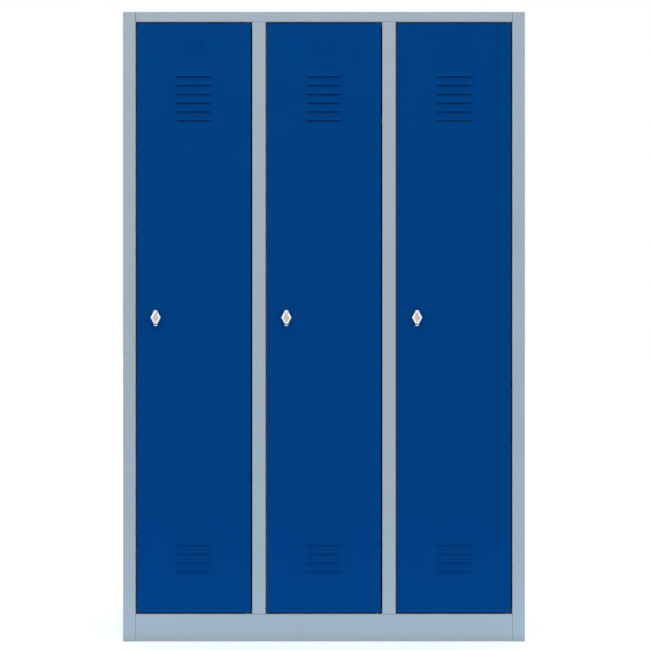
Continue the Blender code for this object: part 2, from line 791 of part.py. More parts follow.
def latch_housing_mesh():
    """Die-cast base and threaded shank with the fixed padlock lug under the knob."""
    base = rod(BASE_RADIUS, -BASE_THICKNESS, -GAP, "Y")
    shank = rod(SHANK_RADIUS, -BASE_THICKNESS + OVERLAP, SHANK_REACH, "Y")
    lug = prism(lug_outline(LUG_TOP), -LUG_DEPTH, -GAP, "Y")
    nose = prism(lug_outline(LUG_NOSE_TOP), -LUG_NOSE_DEPTH, -LUG_DEPTH + OVERLAP, "Y")
    body = combine(base, [shank, lug, nose], "UNION")
    bore = rod(SHAFT_RADIUS + GAP, -SHANK_REACH - LIP, SHANK_REACH + LIP, "Y")
    padlock_hole = rod(PADLOCK_RADIUS, -LIP, LIP, "X")
    moved(padlock_hole, (0.0, -PADLOCK_DEPTH, -PADLOCK_DROP))
    return combine(body, [bore, padlock_hole], "DIFFERENCE")


def latch_nut_mesh():
    corner_radius = NUT_ACROSS_FLATS / 2 / math.cos(math.radians(30))
    hexagon = arc((0.0, 0.0), corner_radius, 0, 300, 5)
    nut = prism(hexagon, LAYER, LAYER + NUT_THICKNESS, "Y")
    return combine(nut, [rod(SHANK_RADIUS + GAP, -LIP, LIP, "Y")], "DIFFERENCE")


def cam_mesh():
    """Tapered cam that hangs down when free and turns behind the stop flange."""
    tip = CAM_TIP_RADIUS - CAM_LENGTH
    lean = math.degrees(math.asin((CAM_HUB_RADIUS - CAM_TIP_RADIUS) / -tip))
    hub_arc = arc((0.0, 0.0), CAM_HUB_RADIUS, -90 - lean, 90 + lean, ROUND_STEPS // 2)
    tip_arc = arc((tip, 0.0), CAM_TIP_RADIUS, 90 + lean, 270 - lean, ROUND_STEPS // 2)
    cam = prism(hub_arc + tip_arc, CAM_FRONT, CAM_FRONT + CAM_THICKNESS, "Y")
    half = SQUARE / 2 + GAP
    hole = block((-half, CAM_FRONT - OVERLAP, -half), (half, CAM_FRONT + CAM_THICKNESS + OVERLAP, half))
    return combine(cam, [hole], "DIFFERENCE")


def cam_screw_mesh():
    seat = CAM_FRONT + CAM_THICKNESS + GAP
    tip = SQUARE_END - SCREW_REACH + OVERLAP
    profile = [
        (0.0, tip),
        (SCREW_RADIUS, tip),
        (SCREW_RADIUS, seat),
        (SCREW_HEAD_RADIUS, seat),
        (SCREW_HEAD_RADIUS, seat + SCREW_HEAD - SCREW_EDGE),
        (SCREW_HEAD_RADIUS - SCREW_EDGE, seat + SCREW_HEAD),
        (0.0, seat + SCREW_HEAD),
    ]
    return turned(profile, "Y")


def buffer_mesh():
    """Domed rubber buffer between the stop flange and the door, y = 0 at its tip."""
    length = POCKET - DOOR_DEPTH - 2 * GAP
    profile = [
        (0.0, 0.0),
        (BUFFER_RADIUS - BUFFER_DOME, 0.0),
        (BUFFER_RADIUS, BUFFER_DOME),
        (BUFFER_RADIUS, length),
        (0.0, length),
    ]
    return turned(profile, "Y", PIN_STEPS)


# Fittings inside a compartment


def oval(extra):
    """Section of the coat rail as (y, z) points, larger all round by extra."""
    radius = RAIL_THICKNESS / 2 + extra
    rise = (RAIL_HEIGHT - RAIL_THICKNESS) / 2
    upper = arc((0.0, rise), radius, 0, 180, RAIL_ARC_STEPS)
    lower = arc((0.0, -rise), radius, 180, 360, RAIL_ARC_STEPS)
    return upper + lower


def hat_shelf(index, name, looks):
    """Shelf with folded edges and two ears that hold the coat rail."""
    left, right = inside_walls(index)
    left += GAP
    right -= GAP
    low = (left, Y_FRONT + SHELF_SETBACK, SHELF_HEIGHT - SHELF_RIM)
    high = (right, Y_INSIDE_BACK - LAYER, SHELF_HEIGHT)
    shelf = tray(low, high, {"-z"})
    ears = []
    for start, end in ((left, left + SHEET), (right - SHEET, right)):
        ears.append(
            block(
                (start, Y_RAIL_AXIS - TAB_WIDTH / 2, SHELF_HEIGHT - TAB_DROP),
                (end, Y_RAIL_AXIS + TAB_WIDTH / 2, SHELF_HEIGHT - SHELF_RIM + OVERLAP),
            )
        )
    shelf = combine(shelf, ears, "UNION")
    hole = prism(oval(GAP), left - OVERLAP, right + OVERLAP, "X")
    moved(hole, (0.0, Y_RAIL_AXIS, Z_RAIL_AXIS))
    add(name, combine(shelf, [hole], "DIFFERENCE"), looks["body"])


def coat_rail(index, name, looks):
    left, right = inside_walls(index)
    half = (right - left) / 2 - 2 * GAP
    tube = prism(oval(0.0), -half, half, "X")
    tube = combine(tube, [prism(oval(-RAIL_WALL), -half - LIP, half + LIP, "X")], "DIFFERENCE")
    add(name, tube, looks["steel"], ((left + right) / 2, Y_RAIL_AXIS, Z_RAIL_AXIS))


def hook_mesh():
    """Coat hook whose band slides along the rail, drawn around the rail's axis."""
    half = HOOK_WIDTH / 2
    band = prism(oval(GAP + HOOK_BAND), -half, half, "X")
    band = combine(band, [prism(oval(GAP), -half - LIP, half + LIP, "X")], "DIFFERENCE")
    top = -RAIL_HEIGHT / 2 - GAP - HOOK_BAND / 2
    bend = (-HOOK_ARC, top - HOOK_STEM)
    curl = arc(bend, HOOK_ARC, 0, -180, HOOK_ARC_STEPS)
    route = [(0.0, top)] + curl + [(-2 * HOOK_ARC, bend[1] + HOOK_TIP)]
    curve = bpy.data.curves.new("hook", "CURVE")
    curve.dimensions = "3D"
    curve.bevel_depth = HOOK_WIRE
    curve.bevel_resolution = HOOK_WIRE_SIDES
    curve.use_fill_caps = True
    spline = curve.splines.new("POLY")
    spline.points.add(len(route) - 1)
    for point, (y, z) in zip(spline.points, route):
        point.co = (0.0, y, z, 1.0)
    holder = bpy.data.objects.new("hook", curve)
    wire = bpy.data.meshes.new_from_object(holder)
    bpy.data.objects.remove(holder)
    return combine(band, [wire], "UNION")


# Assembly


def carcass(looks):
    side_panels(looks)
    back_panel(looks)
    top_panel(looks)
    bottom_panel(looks)
    front_rails(looks)
    for index, side in enumerate(("left", "right")):
        mullion(index, f"{side}_mullion", looks)
        partition(index, f"{side}_partition", looks)


def compartment(index, side, shared, looks):
    """Door with its latch, hinge pins and buffers, and the fittings behind it."""
    x, y = hinge_x(index), Y_FRONT + HINGE_BACK
    hinge = pivot(f"{side}_door_hinge", (x, y, 0.0))
    add(f"{side}_door", shared["door"], looks["door"], parent=hinge)
    add(f"{side}_door_stiffener", shared["stiffener"], looks["door"], parent=hinge)
    add(f"{side}_lower_hinge_pin", shared["lower_pin"], looks["plastic"], (x, y, PLINTH))
    add(f"{side}_upper_hinge_pin", shared["upper_pin"], looks["plastic"], (x, y, OPENING_TOP))
    latch = (LATCH_X, DOOR_FRONT, LATCH_HEIGHT)
    add(f"{side}_latch_housing", shared["latch_housing"], looks["zinc"], latch, hinge)
    add(f"{side}_latch_nut", shared["latch_nut"], looks["steel"], latch, hinge)
    axis = pivot(f"{side}_latch_axis", latch, hinge)
    add(f"{side}_latch_knob", shared["knob"], looks["zinc"], parent=axis)
    add(f"{side}_latch_cam", shared["cam"], looks["steel"], parent=axis)
    add(f"{side}_cam_screw", shared["cam_screw"], looks["steel"], parent=axis)
    for place, height in BUFFER_HEIGHTS.items():
        spot = (opening_left(index) + BUFFER_INSET, Y_FRONT + DOOR_DEPTH + GAP, height)
        add(f"{side}_{place}_buffer", shared["buffer"], looks["rubber"], spot)
    hat_shelf(index, f"{side}_hat_shelf", looks)
    coat_rail(index, f"{side}_coat_rail", looks)
    middle = sum(inside_walls(index)) / 2
    for number, offset in enumerate(HOOK_OFFSETS, start=1):
        spot = (middle + offset, Y_RAIL_AXIS, Z_RAIL_AXIS)
        add(f"{side}_hook_{number}", shared["hook"], looks["plastic"], spot)


def build():
    for item in list(bpy.data.objects):
        bpy.data.objects.remove(item)
    looks = make_materials()
    carcass(looks)
    shared = {
        "door": door_mesh(),
        "stiffener": stiffener_mesh(),
        "lower_pin": lower_pin_mesh(),
        "upper_pin": upper_pin_mesh(),
        "latch_housing": latch_housing_mesh(),
        "latch_nut": latch_nut_mesh(),
        "knob": knob_mesh(),
        "cam": cam_mesh(),
        "cam_screw": cam_screw_mesh(),
        "buffer": buffer_mesh(),
        "hook": hook_mesh(),
    }
    for index, side in enumerate(COMPARTMENTS):
        compartment(index, side, shared, looks)


build()
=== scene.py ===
"""Looks of a steel locker cabinet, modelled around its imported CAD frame.

Metres, +Z up, the doors face -Y.  Every piece is built where its CAD node stands at rest, takes its
place from that node's box, and rides on the node's body.
"""

import json
import math

import bmesh
import bpy
from mathutils import Matrix, Vector

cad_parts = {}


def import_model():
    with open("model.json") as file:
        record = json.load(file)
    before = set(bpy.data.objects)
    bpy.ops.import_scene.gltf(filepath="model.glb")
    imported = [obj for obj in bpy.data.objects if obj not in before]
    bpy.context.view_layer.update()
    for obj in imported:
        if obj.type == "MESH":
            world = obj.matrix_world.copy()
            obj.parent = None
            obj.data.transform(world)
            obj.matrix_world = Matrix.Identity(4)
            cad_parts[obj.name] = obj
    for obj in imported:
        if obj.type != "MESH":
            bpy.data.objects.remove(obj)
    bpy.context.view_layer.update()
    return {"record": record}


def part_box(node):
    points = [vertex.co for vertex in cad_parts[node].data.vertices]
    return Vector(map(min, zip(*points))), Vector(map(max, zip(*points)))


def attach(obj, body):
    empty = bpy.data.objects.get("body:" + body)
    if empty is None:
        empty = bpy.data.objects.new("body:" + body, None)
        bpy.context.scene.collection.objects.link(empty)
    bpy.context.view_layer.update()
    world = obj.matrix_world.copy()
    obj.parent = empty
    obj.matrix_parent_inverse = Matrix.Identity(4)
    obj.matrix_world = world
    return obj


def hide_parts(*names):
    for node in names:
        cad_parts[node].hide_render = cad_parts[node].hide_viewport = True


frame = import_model()
BODY_OF = {node: body for body, nodes in frame["record"]["behaviour"]["bodies"].items() for node in nodes}

COMPARTMENTS = ("left", "centre", "right")

# Sheet steel
SHEET = 0.0008
GAP = 0.0003  # between two pieces that touch
LAYER = SHEET + GAP
BEND = 0.002  # outer radius of a fold
BEND_STEPS = 6
CORNER_STEPS = 8  # along a rounded corner of an outline
CUT_EDGE = 0.00015  # the coating rounds the cut edges of the sheet
CUT_EDGE_STEPS = 2
FLANGE = 0.015
LIP = 0.010
STOP = 0.014  # flange that the latch side of a door closes against
POCKET = 0.022  # how far the doors' pocket goes back
DOOR_GAP = 0.0042
RAIL_SEAM = 0.0008
MERGE = 0.000002  # points closer than this are one point
DIGITS = 7  # decimals kept of a point's place
SHARP_ANGLE = math.radians(45)  # a fold over this is a sharp edge

# Door
DOOR_DEPTH = 0.016
DOOR_LIP = 0.012
HINGE_INSET = 0.010  # hinge axis to the door's edge
HINGE_BACK = 0.006  # hinge axis to the door's front face
HOLE_STEPS = 32
STIFFENER_CROWN = 0.030  # width of the strip's raised middle

# Pressed louvres
LOUVRE_WIDTH = 0.102
LOUVRE_PITCH = 0.025
LOUVRE_HOOD = 0.011
LOUVRE_RISE = 0.0045
LOUVRE_END = 0.009
LOUVRE_END_STEPS = 8
LOUVRE_ROWS = 10
LOUVRE_SLOT = 0.0011
LOUVRE_EASE = 1.4  # over 1 lifts the hood gently out of the flat sheet
UPPER_LOUVRES = 6
LOWER_LOUVRES = 4
UPPER_LOUVRE_TOP = 1.614  # slot of the highest louvre in the upper group
LOWER_LOUVRE_TOP = 0.276

CELL_MARGIN = 0.009  # flat skin beside a louvre or over the label frame

# Pressed label frame
LABEL_WIDTH = 0.050
LABEL_HEIGHT = 0.040
LABEL_CENTRE = 1.701
LABEL_CORNER = 0.005
LABEL_RISE = 0.0016
LABEL_OUTER_SLOPE = 0.0012
LABEL_CREST = 0.0006
LABEL_INNER_SLOPE = 0.004
LABEL_STEPS = 5

# Hinge pins
PIN_RADIUS = 0.003
PIN_HEAD = 0.005
PIN_HEAD_HEIGHT = 0.002
PIN_REACH = 0.012
PIN_CHAMFER = 0.001
PIN_EDGE = 0.0004

# Latch
KNOB_FRONT = 0.022
KNOB_BACK = 0.017
KNOB_FOOT_HALF_WIDTH = 0.0055
KNOB_FOOT_CORNER = 0.0012
KNOB_WAIST = -0.002  # height of the widest place
KNOB_WAIST_CORNER = 0.0015
KNOB_SHOULDER_HALF_WIDTH = 0.0076
KNOB_SHOULDER = 0.0105
KNOB_SHOULDER_CORNER = 0.003
KNOB_CROWN_HALF_WIDTH = 0.0053
KNOB_CROWN_CORNER = 0.0035
KNOB_RIM = 0.0026  # how far the rim slopes back from the facet
KNOB_EDGE = 0.0007
KNOB_EDGE_SHARE = 0.10  # part of the rim's width that is rounded
KNOB_CENTRE = Vector((0.0, -0.0022))
KNOB_RAYS = 160
FACET_HALF_WIDTH = 0.0095
FACET_HALF_HEIGHT = 0.0136
FACET_CORNER = 0.0012
FACET_STEP = 0.00035  # the facet is sunk this far behind its crest
CREST_START, CREST_END, FACET_START = 0.98, 1.01, 1.04  # in rim widths from the outer edge
CAST_EDGE_STEPS = 5
NECK_RADIUS = 0.0068
SHAFT_RADIUS = 0.0045
SHAFT_END = 0.0237
SQUARE = 0.007
SQUARE_END = 0.0262
BASE_RADIUS = 0.010
BASE_THICKNESS = 0.0035
BASE_EDGE = 0.001
SHANK_RADIUS = 0.007
SHANK_REACH = 0.008
THREAD_PITCH = 0.001
THREAD_DEPTH = 0.0005
THREAD_ROOT, THREAD_CREST = 0.5, 0.9  # where they are in one pitch
LUG_HALF_WIDTH = 0.00525
LUG_TOP = -0.008
LUG_NOSE_TOP = -0.0203
LUG_BOTTOM = -0.0258
LUG_DEPTH = 0.013
LUG_NOSE_DEPTH = 0.019
LUG_NOSE_FALL = 0.0024  # how far the nose's top falls toward its front
LUG_NOSE_LEAN = 0.0012  # how far its front leans back at the bottom
LUG_CORNER = 0.003
LUG_EDGE = 0.0005
PADLOCK_RADIUS = 0.0032
PADLOCK_DROP = 0.0205  # padlock hole below the latch axis
PADLOCK_DEPTH = 0.0068  # padlock hole to the door face
NUT_ACROSS_FLATS = 0.020
NUT_THICKNESS = 0.004
NUT_CHAMFER = 0.0006
CAM_FRONT = 0.024
CAM_THICKNESS = 0.0025
CAM_HUB_RADIUS = 0.009
CAM_TIP_RADIUS = 0.006
CAM_LENGTH = 0.054
CAM_ARC_STEPS = 24
SCREW_RADIUS = 0.002
SCREW_HEAD_RADIUS = 0.006
SCREW_HEAD = 0.003
SCREW_CROWN_SHARE = 0.55  # flat part of the head's radius
SCREW_WALL_SHARE = 0.35  # upright part of its height
SCREW_REACH = 0.008
SCREW_SLOT = 0.0013
SCREW_SLOT_LENGTH = 0.0062
SCREW_SLOT_DEPTH = 0.0016
LATHE_STEPS = 64
DOME_STEPS = 8  # over the round end of a small part
SOLID_EDGE_STEPS = 3
SOLID_EDGE_ANGLE = math.radians(40)
OVERLAP = 0.001  # between shapes that are joined into one piece

# Rubber buffers on the stop flange
BUFFER_RADIUS = 0.0045
BUFFER_DOME = 0.0015

# Hat shelf, coat rail and hooks
SHELF_RIM = 0.020
EAR_WIDTH = 0.060
EAR_CORNER = 0.008
RAIL_HEIGHT = 0.030
RAIL_THICKNESS = 0.015
RAIL_WALL = 0.0012
RAIL_ARC_STEPS = 20
HOOK_BAND = 0.0025
HOOK_WIRE = 0.0025
HOOK_STEM = 0.018
HOOK_ARC = 0.014
HOOK_TIP = 0.010
HOOK_ARC_STEPS = 28
HOOK_SIDES = 24
HOOK_EDGE = 0.0004

# Places from the frame
PANEL_LOW, PANEL_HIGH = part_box("left_side_panel")
Y_FRONT = PANEL_LOW.y  # front of the carcass and doors
Y_BACK = PANEL_HIGH.y
HEIGHT = PANEL_HIGH.z
X_SIDE = -PANEL_LOW.x
STILE = PANEL_HIGH.x - PANEL_LOW.x - STOP
Y_POCKET = Y_FRONT + POCKET
Y_RAIL_STOP = Y_POCKET + LAYER
Y_BEHIND_STOP = Y_RAIL_STOP + LAYER
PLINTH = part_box("bottom_panel")[1].z
DOOR_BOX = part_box("left_door")
OPENING_TOP = DOOR_BOX[1].z + DOOR_GAP
LATCH_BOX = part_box("left_latch_knob")
LATCH_HEIGHT = (LATCH_BOX[0].z + LATCH_BOX[1].z) / 2
KNOB_HALF_HEIGHT = (LATCH_BOX[1].z - LATCH_BOX[0].z) / 2
KNOB_HALF_WIDTH = (LATCH_BOX[1].x - LATCH_BOX[0].x) / 2
LATCH_INSET = (LATCH_BOX[0].x + LATCH_BOX[1].x) / 2 - DOOR_BOX[0].x


def middle(node):
    """Centre of a CAD node's box."""
    low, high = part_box(node)
    return (low + high) / 2


def pivot(side):
    """Point of a door's hinge axis at floor level."""
    return Vector((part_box(f"{side}_door")[1].x - HINGE_INSET, Y_FRONT + HINGE_BACK, 0.0))


# Materials

NOISE_LOW, NOISE_HIGH = 0.3, 0.7  # most noise values lie between these
MOTTLE = 0.015  # how much a coat's colour varies


def set_inputs(node, values):
    for name, value in values.items():
        node.inputs[name].default_value = value


class Finish:
    """Principled material whose patterns are placed by the piece's own coordinates."""

    def __init__(self, name, metallic=0.0):
        self.material = bpy.data.materials.new(name)
        self.material.use_nodes = True
        self.nodes = self.material.node_tree.nodes
        self.links = self.material.node_tree.links
        self.shader = self.nodes["Principled BSDF"]
        set_inputs(self.shader, {"Metallic": metallic})
        self.place = self.nodes.new("ShaderNodeTexCoord").outputs["Object"]

    def noise(self, size, detail=2.0, stretch=(1.0, 1.0, 1.0)):
        """Noise whose blobs are about this size in metres, longer along an axis by its stretch."""
        mapping = self.nodes.new("ShaderNodeMapping")
        set_inputs(mapping, {"Scale": [1.0 / (size * part) for part in stretch]})
        self.links.new(self.place, mapping.inputs["Vector"])
        texture = self.nodes.new("ShaderNodeTexNoise")
        set_inputs(texture, {"Scale": 1.0, "Detail": detail})
        self.links.new(mapping.outputs["Vector"], texture.inputs["Vector"])
        return texture.outputs["Fac"]

    def spread(self, value, low, high):
        """Number that goes from low to high over the noise's usual range."""
        ramp = self.nodes.new("ShaderNodeMapRange")
        set_inputs(ramp, {"From Min": NOISE_LOW, "From Max": NOISE_HIGH, "To Min": low, "To Max": high})
        self.links.new(value, ramp.inputs["Value"])
        return ramp.outputs["Result"]

    def colour(self, first, second, value):
        """Base colour between two colours."""
        mix = self.nodes.new("ShaderNodeMix")
        mix.data_type = "RGBA"
        factor, _, _, _, _, _, colour_a, colour_b = mix.inputs[:8]
        colour_a.default_value = (*first, 1.0)
        colour_b.default_value = (*second, 1.0)
        self.links.new(self.spread(value, 0.0, 1.0), factor)
        self.links.new(mix.outputs[2], self.shader.inputs["Base Color"])

    def roughness(self, value, low, high):
        self.links.new(self.spread(value, low, high), self.shader.inputs["Roughness"])

    def bumps(self, *layers):
        """Bumps of (noise, height in metres), one over another."""
        normal = None
        for value, height in layers:
            bump = self.nodes.new("ShaderNodeBump")
            set_inputs(bump, {"Strength": 1.0, "Distance": height})
            self.links.new(value, bump.inputs["Height"])
            if normal is not None:
                self.links.new(normal, bump.inputs["Normal"])
            normal = bump.outputs["Normal"]
        self.links.new(normal, self.shader.inputs["Normal"])


def powder_coat(name, colour, gloss):
    """Baked powder: fine orange peel over a faintly uneven sheet, with mottled colour and gloss."""
    finish = Finish(name)
    dark, pale = [[part * share for part in colour] for share in (1 - MOTTLE, 1 + MOTTLE)]
    finish.colour(dark, pale, finish.noise(0.11, detail=4.0))
    finish.roughness(finish.noise(0.02, detail=3.0), 0.40, 0.47)
    set_inputs(finish.shader, {"Specular IOR Level": gloss})
    finish.bumps((finish.noise(0.35, detail=1.0), 0.0006), (finish.noise(0.0028), 0.000012))
    return finish.material


def nickel():
    """Nickel over die-cast zinc: bright, with cloudy polish and a trace of the casting's skin."""
    finish = Finish("nickelled_zinc", metallic=1.0)
    finish.colour((0.66, 0.64, 0.61), (0.73, 0.72, 0.70), finish.noise(0.006, detail=3.0))
    finish.roughness(finish.noise(0.003, detail=3.0), 0.14, 0.20)
    finish.bumps((finish.noise(0.0012), 0.000008))
    return finish.material


def plated_steel():
    """Bright zinc plate: grey with blue and straw tints and fine draw marks."""
    finish = Finish("plated_steel", metallic=1.0)
    finish.colour((0.50, 0.53, 0.57), (0.60, 0.58, 0.53), finish.noise(0.012, detail=5.0))
    finish.roughness(finish.noise(0.004, detail=4.0, stretch=(8.0, 1.0, 1.0)), 0.26, 0.42)
    finish.bumps((finish.noise(0.0005, stretch=(30.0, 1.0, 1.0)), 0.000004))
    return finish.material


def rubber():
    """Black moulded rubber, matt and slightly grained."""
    finish = Finish("black_rubber")
    finish.colour((0.014, 0.014, 0.015), (0.028, 0.027, 0.026), finish.noise(0.002, detail=4.0))
    finish.roughness(finish.noise(0.0015, detail=3.0), 0.72, 0.86)
    finish.bumps((finish.noise(0.0004, detail=3.0), 0.00002))
    return finish.material


def nylon():
    """Dark grey moulded nylon with a fine grain."""
    finish = Finish("grey_nylon")
    finish.colour((0.045, 0.048, 0.052), (0.062, 0.066, 0.070), finish.noise(0.004, detail=4.0))
    finish.roughness(finish.noise(0.002, detail=3.0), 0.42, 0.55)
    finish.bumps((finish.noise(0.0006, detail=3.0), 0.000015))
    return finish.material


def floor_finish():
    """Pale studio floor, lit a little from below so that it stays as pale as the backdrop."""
    finish = Finish("studio_floor")
    finish.colour((0.49, 0.51, 0.53), (0.51, 0.53, 0.55), finish.noise(0.5))
    finish.roughness(finish.noise(0.4), 0.85, 0.95)
    set_inputs(finish.shader, {"Specular IOR Level": 0.1, "Emission Strength": 0.55})
    set_inputs(finish.shader, {"Emission Color": (0.84, 0.94, 1.0, 1.0)})
    return finish.material


FINISHES = {
    "body": powder_coat("grey_powder_coat", (0.300, 0.354, 0.394), 0.30),
    "door": powder_coat("blue_powder_coat", (0.0, 0.0424, 0.176), 0.01),
    "zinc": nickel(),
    "steel": plated_steel(),
    "rubber": rubber(),
    "plastic": nylon(),
}


# Mesh helpers

# A section along X, Y or Z is drawn in (y, z), (z, x) or (x, y)
PLACE = {
    "X": lambda u, v, level: (level, u, v),
    "Y": lambda u, v, level: (v, level, u),
    "Z": lambda u, v, level: (u, v, level),
}


def rounded(corner):
    return tuple(round(value, DIGITS) for value in corner)


class Surface:
    """Faces that share their corner points."""

    def __init__(self):
        self.bm = bmesh.new()
        self.points = {}

    def point(self, corner):
        key = rounded(corner)
        if key not in self.points:
            self.points[key] = self.bm.verts.new(key)
        return self.points[key]

    def face(self, corners):
        """Face through the corners, leaving out those that fall on the one before."""
        ring = [self.point(corner) for corner in corners]
        ring = [vert for index, vert in enumerate(ring) if vert is not ring[index - 1]]
        if len(ring) > 2:
            self.bm.faces.new(ring)

    def band(self, first, second, closed=True, leave_out=()):
        """Quads between two rings of equal length."""
        for index in range(len(first) if closed else len(first) - 1):
            after = (index + 1) % len(first)
            if index not in leave_out:
                self.face([first[index], first[after], second[after], second[index]])

    def bands(self, rings, closed=True):
        """Quads between each ring and the next."""
        for first, second in zip(rings, rings[1:]):
            self.band(first, second, closed)

    def fill(self, *loops):
        """Flat faces inside the first loop and outside the others."""
        flat = bmesh.new()
        for loop in loops:
            keys = [rounded(corner) for corner in loop]
            verts = [flat.verts.new(key) for index, key in enumerate(keys) if key != keys[index - 1]]
            for index, vert in enumerate(verts):
                flat.edges.new((verts[index - 1], vert))
        bmesh.ops.triangle_fill(flat, use_beauty=True, edges=flat.edges)
        for triangle in flat.faces:
            self.face([vert.co for vert in triangle.verts])
        flat.free()

    def mesh(self, name):
        """The faces as a mesh whose normals face out."""
        bmesh.ops.recalc_face_normals(self.bm, faces=self.bm.faces)
        made = bpy.data.meshes.new(name)
        self.bm.to_mesh(made)
        self.bm.free()
        return made


def placed(name, data):
    """New object of this data, in the scene."""
    made = bpy.data.objects.new(name, data)
    bpy.context.scene.collection.objects.link(made)
    return made


def modify(holder, kind, **settings):
    """Give an object a modifier with these settings."""
    modifier = holder.modifiers.new(kind, kind)
    for name, value in settings.items():
        setattr(modifier, name, value)


def bevel(holder, width, segments, angle):
    modify(holder, "BEVEL", width=width, segments=segments, limit_method="ANGLE", angle_limit=angle)


def evaluated(holder, *helpers):
    """Mesh of an object after its modifiers; the object and its helpers are removed."""
    bpy.context.view_layer.update()
    depsgraph = bpy.context.evaluated_depsgraph_get()
    result = bpy.data.meshes.new_from_object(holder.evaluated_get(depsgraph))
    for item in (holder, *helpers):
        bpy.data.objects.remove(item)
    return result


def combine(mesh, tools, operation):
    """Boolean of the mesh with each tool mesh in turn."""
    holder = placed("holder", mesh)
    helpers = [placed("helper", tool) for tool in tools]
    for helper in helpers:
        modify(holder, "BOOLEAN", operation=operation, object=helper)
    return evaluated(holder, *helpers)


def thicken(mesh):
    """Give an open surface the sheet's thickness, behind its faces."""
    holder = placed("holder", mesh)
    modify(holder, "SOLIDIFY", thickness=SHEET, offset=-1, use_even_offset=True, use_quality_normals=True)
    return evaluated(holder)


def eased(mesh, width):
    """Round the sharp edges of a solid."""
    holder = placed("holder", mesh)
    bevel(holder, width, SOLID_EDGE_STEPS, SOLID_EDGE_ANGLE)
    return evaluated(holder)


def moved(mesh, offset):
    mesh.transform(Matrix.Translation(offset))
    return mesh


def copied(mesh, offset):
    """Copy of a mesh that several pieces share."""
    return moved(mesh.copy(), offset)


def arc(centre, radius, start, end, steps):
    """Points on an arc, angles in degrees."""
    angles = [math.radians(start + (end - start) * step / steps) for step in range(steps + 1)]
    return [(centre[0] + radius * math.cos(a), centre[1] + radius * math.sin(a)) for a in angles]


def circle(centre, radius, steps=HOLE_STEPS):
    return arc(centre, radius, 0, 360, steps)[:-1]


def rectangle(half_u, half_v):
    return [(-half_u, -half_v), (half_u, -half_v), (half_u, half_v), (-half_u, half_v)]


def quarter_turn(steps):
    """Angles from nothing to a right angle, in radians."""
    return [math.pi / 2 * step / steps for step in range(steps + 1)]


def rounded_outline(corners):
    """Closed outline through (u, v, radius) corners."""
    points = []
    for index, (u, v, radius) in enumerate(corners):
        corner = Vector((u, v))
        into = (corner - Vector(corners[index - 1][:2])).normalized()
        out = (Vector(corners[(index + 1) % len(corners)][:2]) - corner).normalized()
        turn = math.atan2(into.x * out.y - into.y * out.x, into.dot(out))
        start = corner - into * radius * math.tan(abs(turn) / 2)
        inward = Vector((-into.y, into.x)) * math.copysign(radius, turn)
        for step in range(CORNER_STEPS + 1):
            points.append(start + inward - Matrix.Rotation(turn * step / CORNER_STEPS, 2) @ inward)
    return points


def rounded_rectangle(low, high, corner, inset):
    """Ring inset from a rectangle's sides, whose corners are rounder the further out it is."""
    radius = max(corner - inset, 0.0)
    reach = inset + radius
    points = []
    for u, v, start in (
        (high[0] - reach, high[1] - reach, 0),
        (low[0] + reach, high[1] - reach, 90),
        (low[0] + reach, low[1] + reach, 180),
        (high[0] - reach, low[1] + reach, 270),
    ):
        points += arc((u, v), radius, start, start + 90, BEND_STEPS)
    return points


# Places in the order of rounded_rectangle where its straight sides are
SIDE_HIGH_V, SIDE_LOW_U, SIDE_LOW_V, SIDE_HIGH_U = [(BEND_STEPS + 1) * side - 1 for side in (1, 2, 3, 4)]


def fold_rings():
    """(inset, depth) of the rings over a fold's outer face, from the flat to the flange."""
    angles = quarter_turn(BEND_STEPS)
    return [(BEND * (1 - math.sin(angle)), BEND * (1 - math.cos(angle))) for angle in angles]


def lathe(profile, along):
    """Round piece: (radius, height) points turned about an axis through the origin."""
    surface = Surface()
    rings = []
    for radius, height in profile:
        rings.append([PLACE[along](u, v, height) for u, v in circle((0.0, 0.0), radius, LATHE_STEPS)])
    surface.bands(rings)
    return surface.mesh("lathe")


def rod(radius, start, end, along, steps=HOLE_STEPS):
    """Round bar between two levels along an axis."""
    return plate(circle((0.0, 0.0), radius, steps), start, end, along)


def plate(outline, start, end, along, holes=()):
    """Flat piece with this outline and holes, between two levels along an axis."""
    surface = Surface()
    loops = [outline, *holes]
    for level in (start, end):
        surface.fill(*[[PLACE[along](u, v, level) for u, v in loop] for loop in loops])
    for loop in loops:
        ends = [[PLACE[along](u, v, level) for u, v in loop] for level in (start, end)]
        surface.band(*ends)
    return surface.mesh("plate")


def bent_route(corners):
    """Stations (point, outward normal) along an open outline with round folds.

    The outer face is on the right of travel.  The second list names the segments that each
    stretch between two stations belongs to.
    """
    corners = [Vector(corner) for corner in corners]
    into = (corners[1] - corners[0]).normalized()
    stations = [(corners[0], Vector((into.y, -into.x)))]
    owners = []
    for index in range(1, len(corners) - 1):
        out = (corners[index + 1] - corners[index]).normalized()
        turn = math.atan2(into.x * out.y - into.y * out.x, into.dot(out))
        radius = BEND if turn > 0 else BEND - SHEET
        right = Vector((into.y, -into.x))
        start = corners[index] - into * radius * math.tan(abs(turn) / 2)
        centre = start - right * math.copysign(radius, turn)
        owners.append({index - 1})
        for step in range(BEND_STEPS + 1):
            normal = Matrix.Rotation(turn * step / BEND_STEPS, 2) @ right
            stations.append((centre + normal * math.copysign(radius, turn), normal))
        owners += [{index - 1, index}] * BEND_STEPS
        into = out
    owners.append({len(corners) - 2})
    stations.append((corners[-1], Vector((into.y, -into.x))))
    return stations, owners


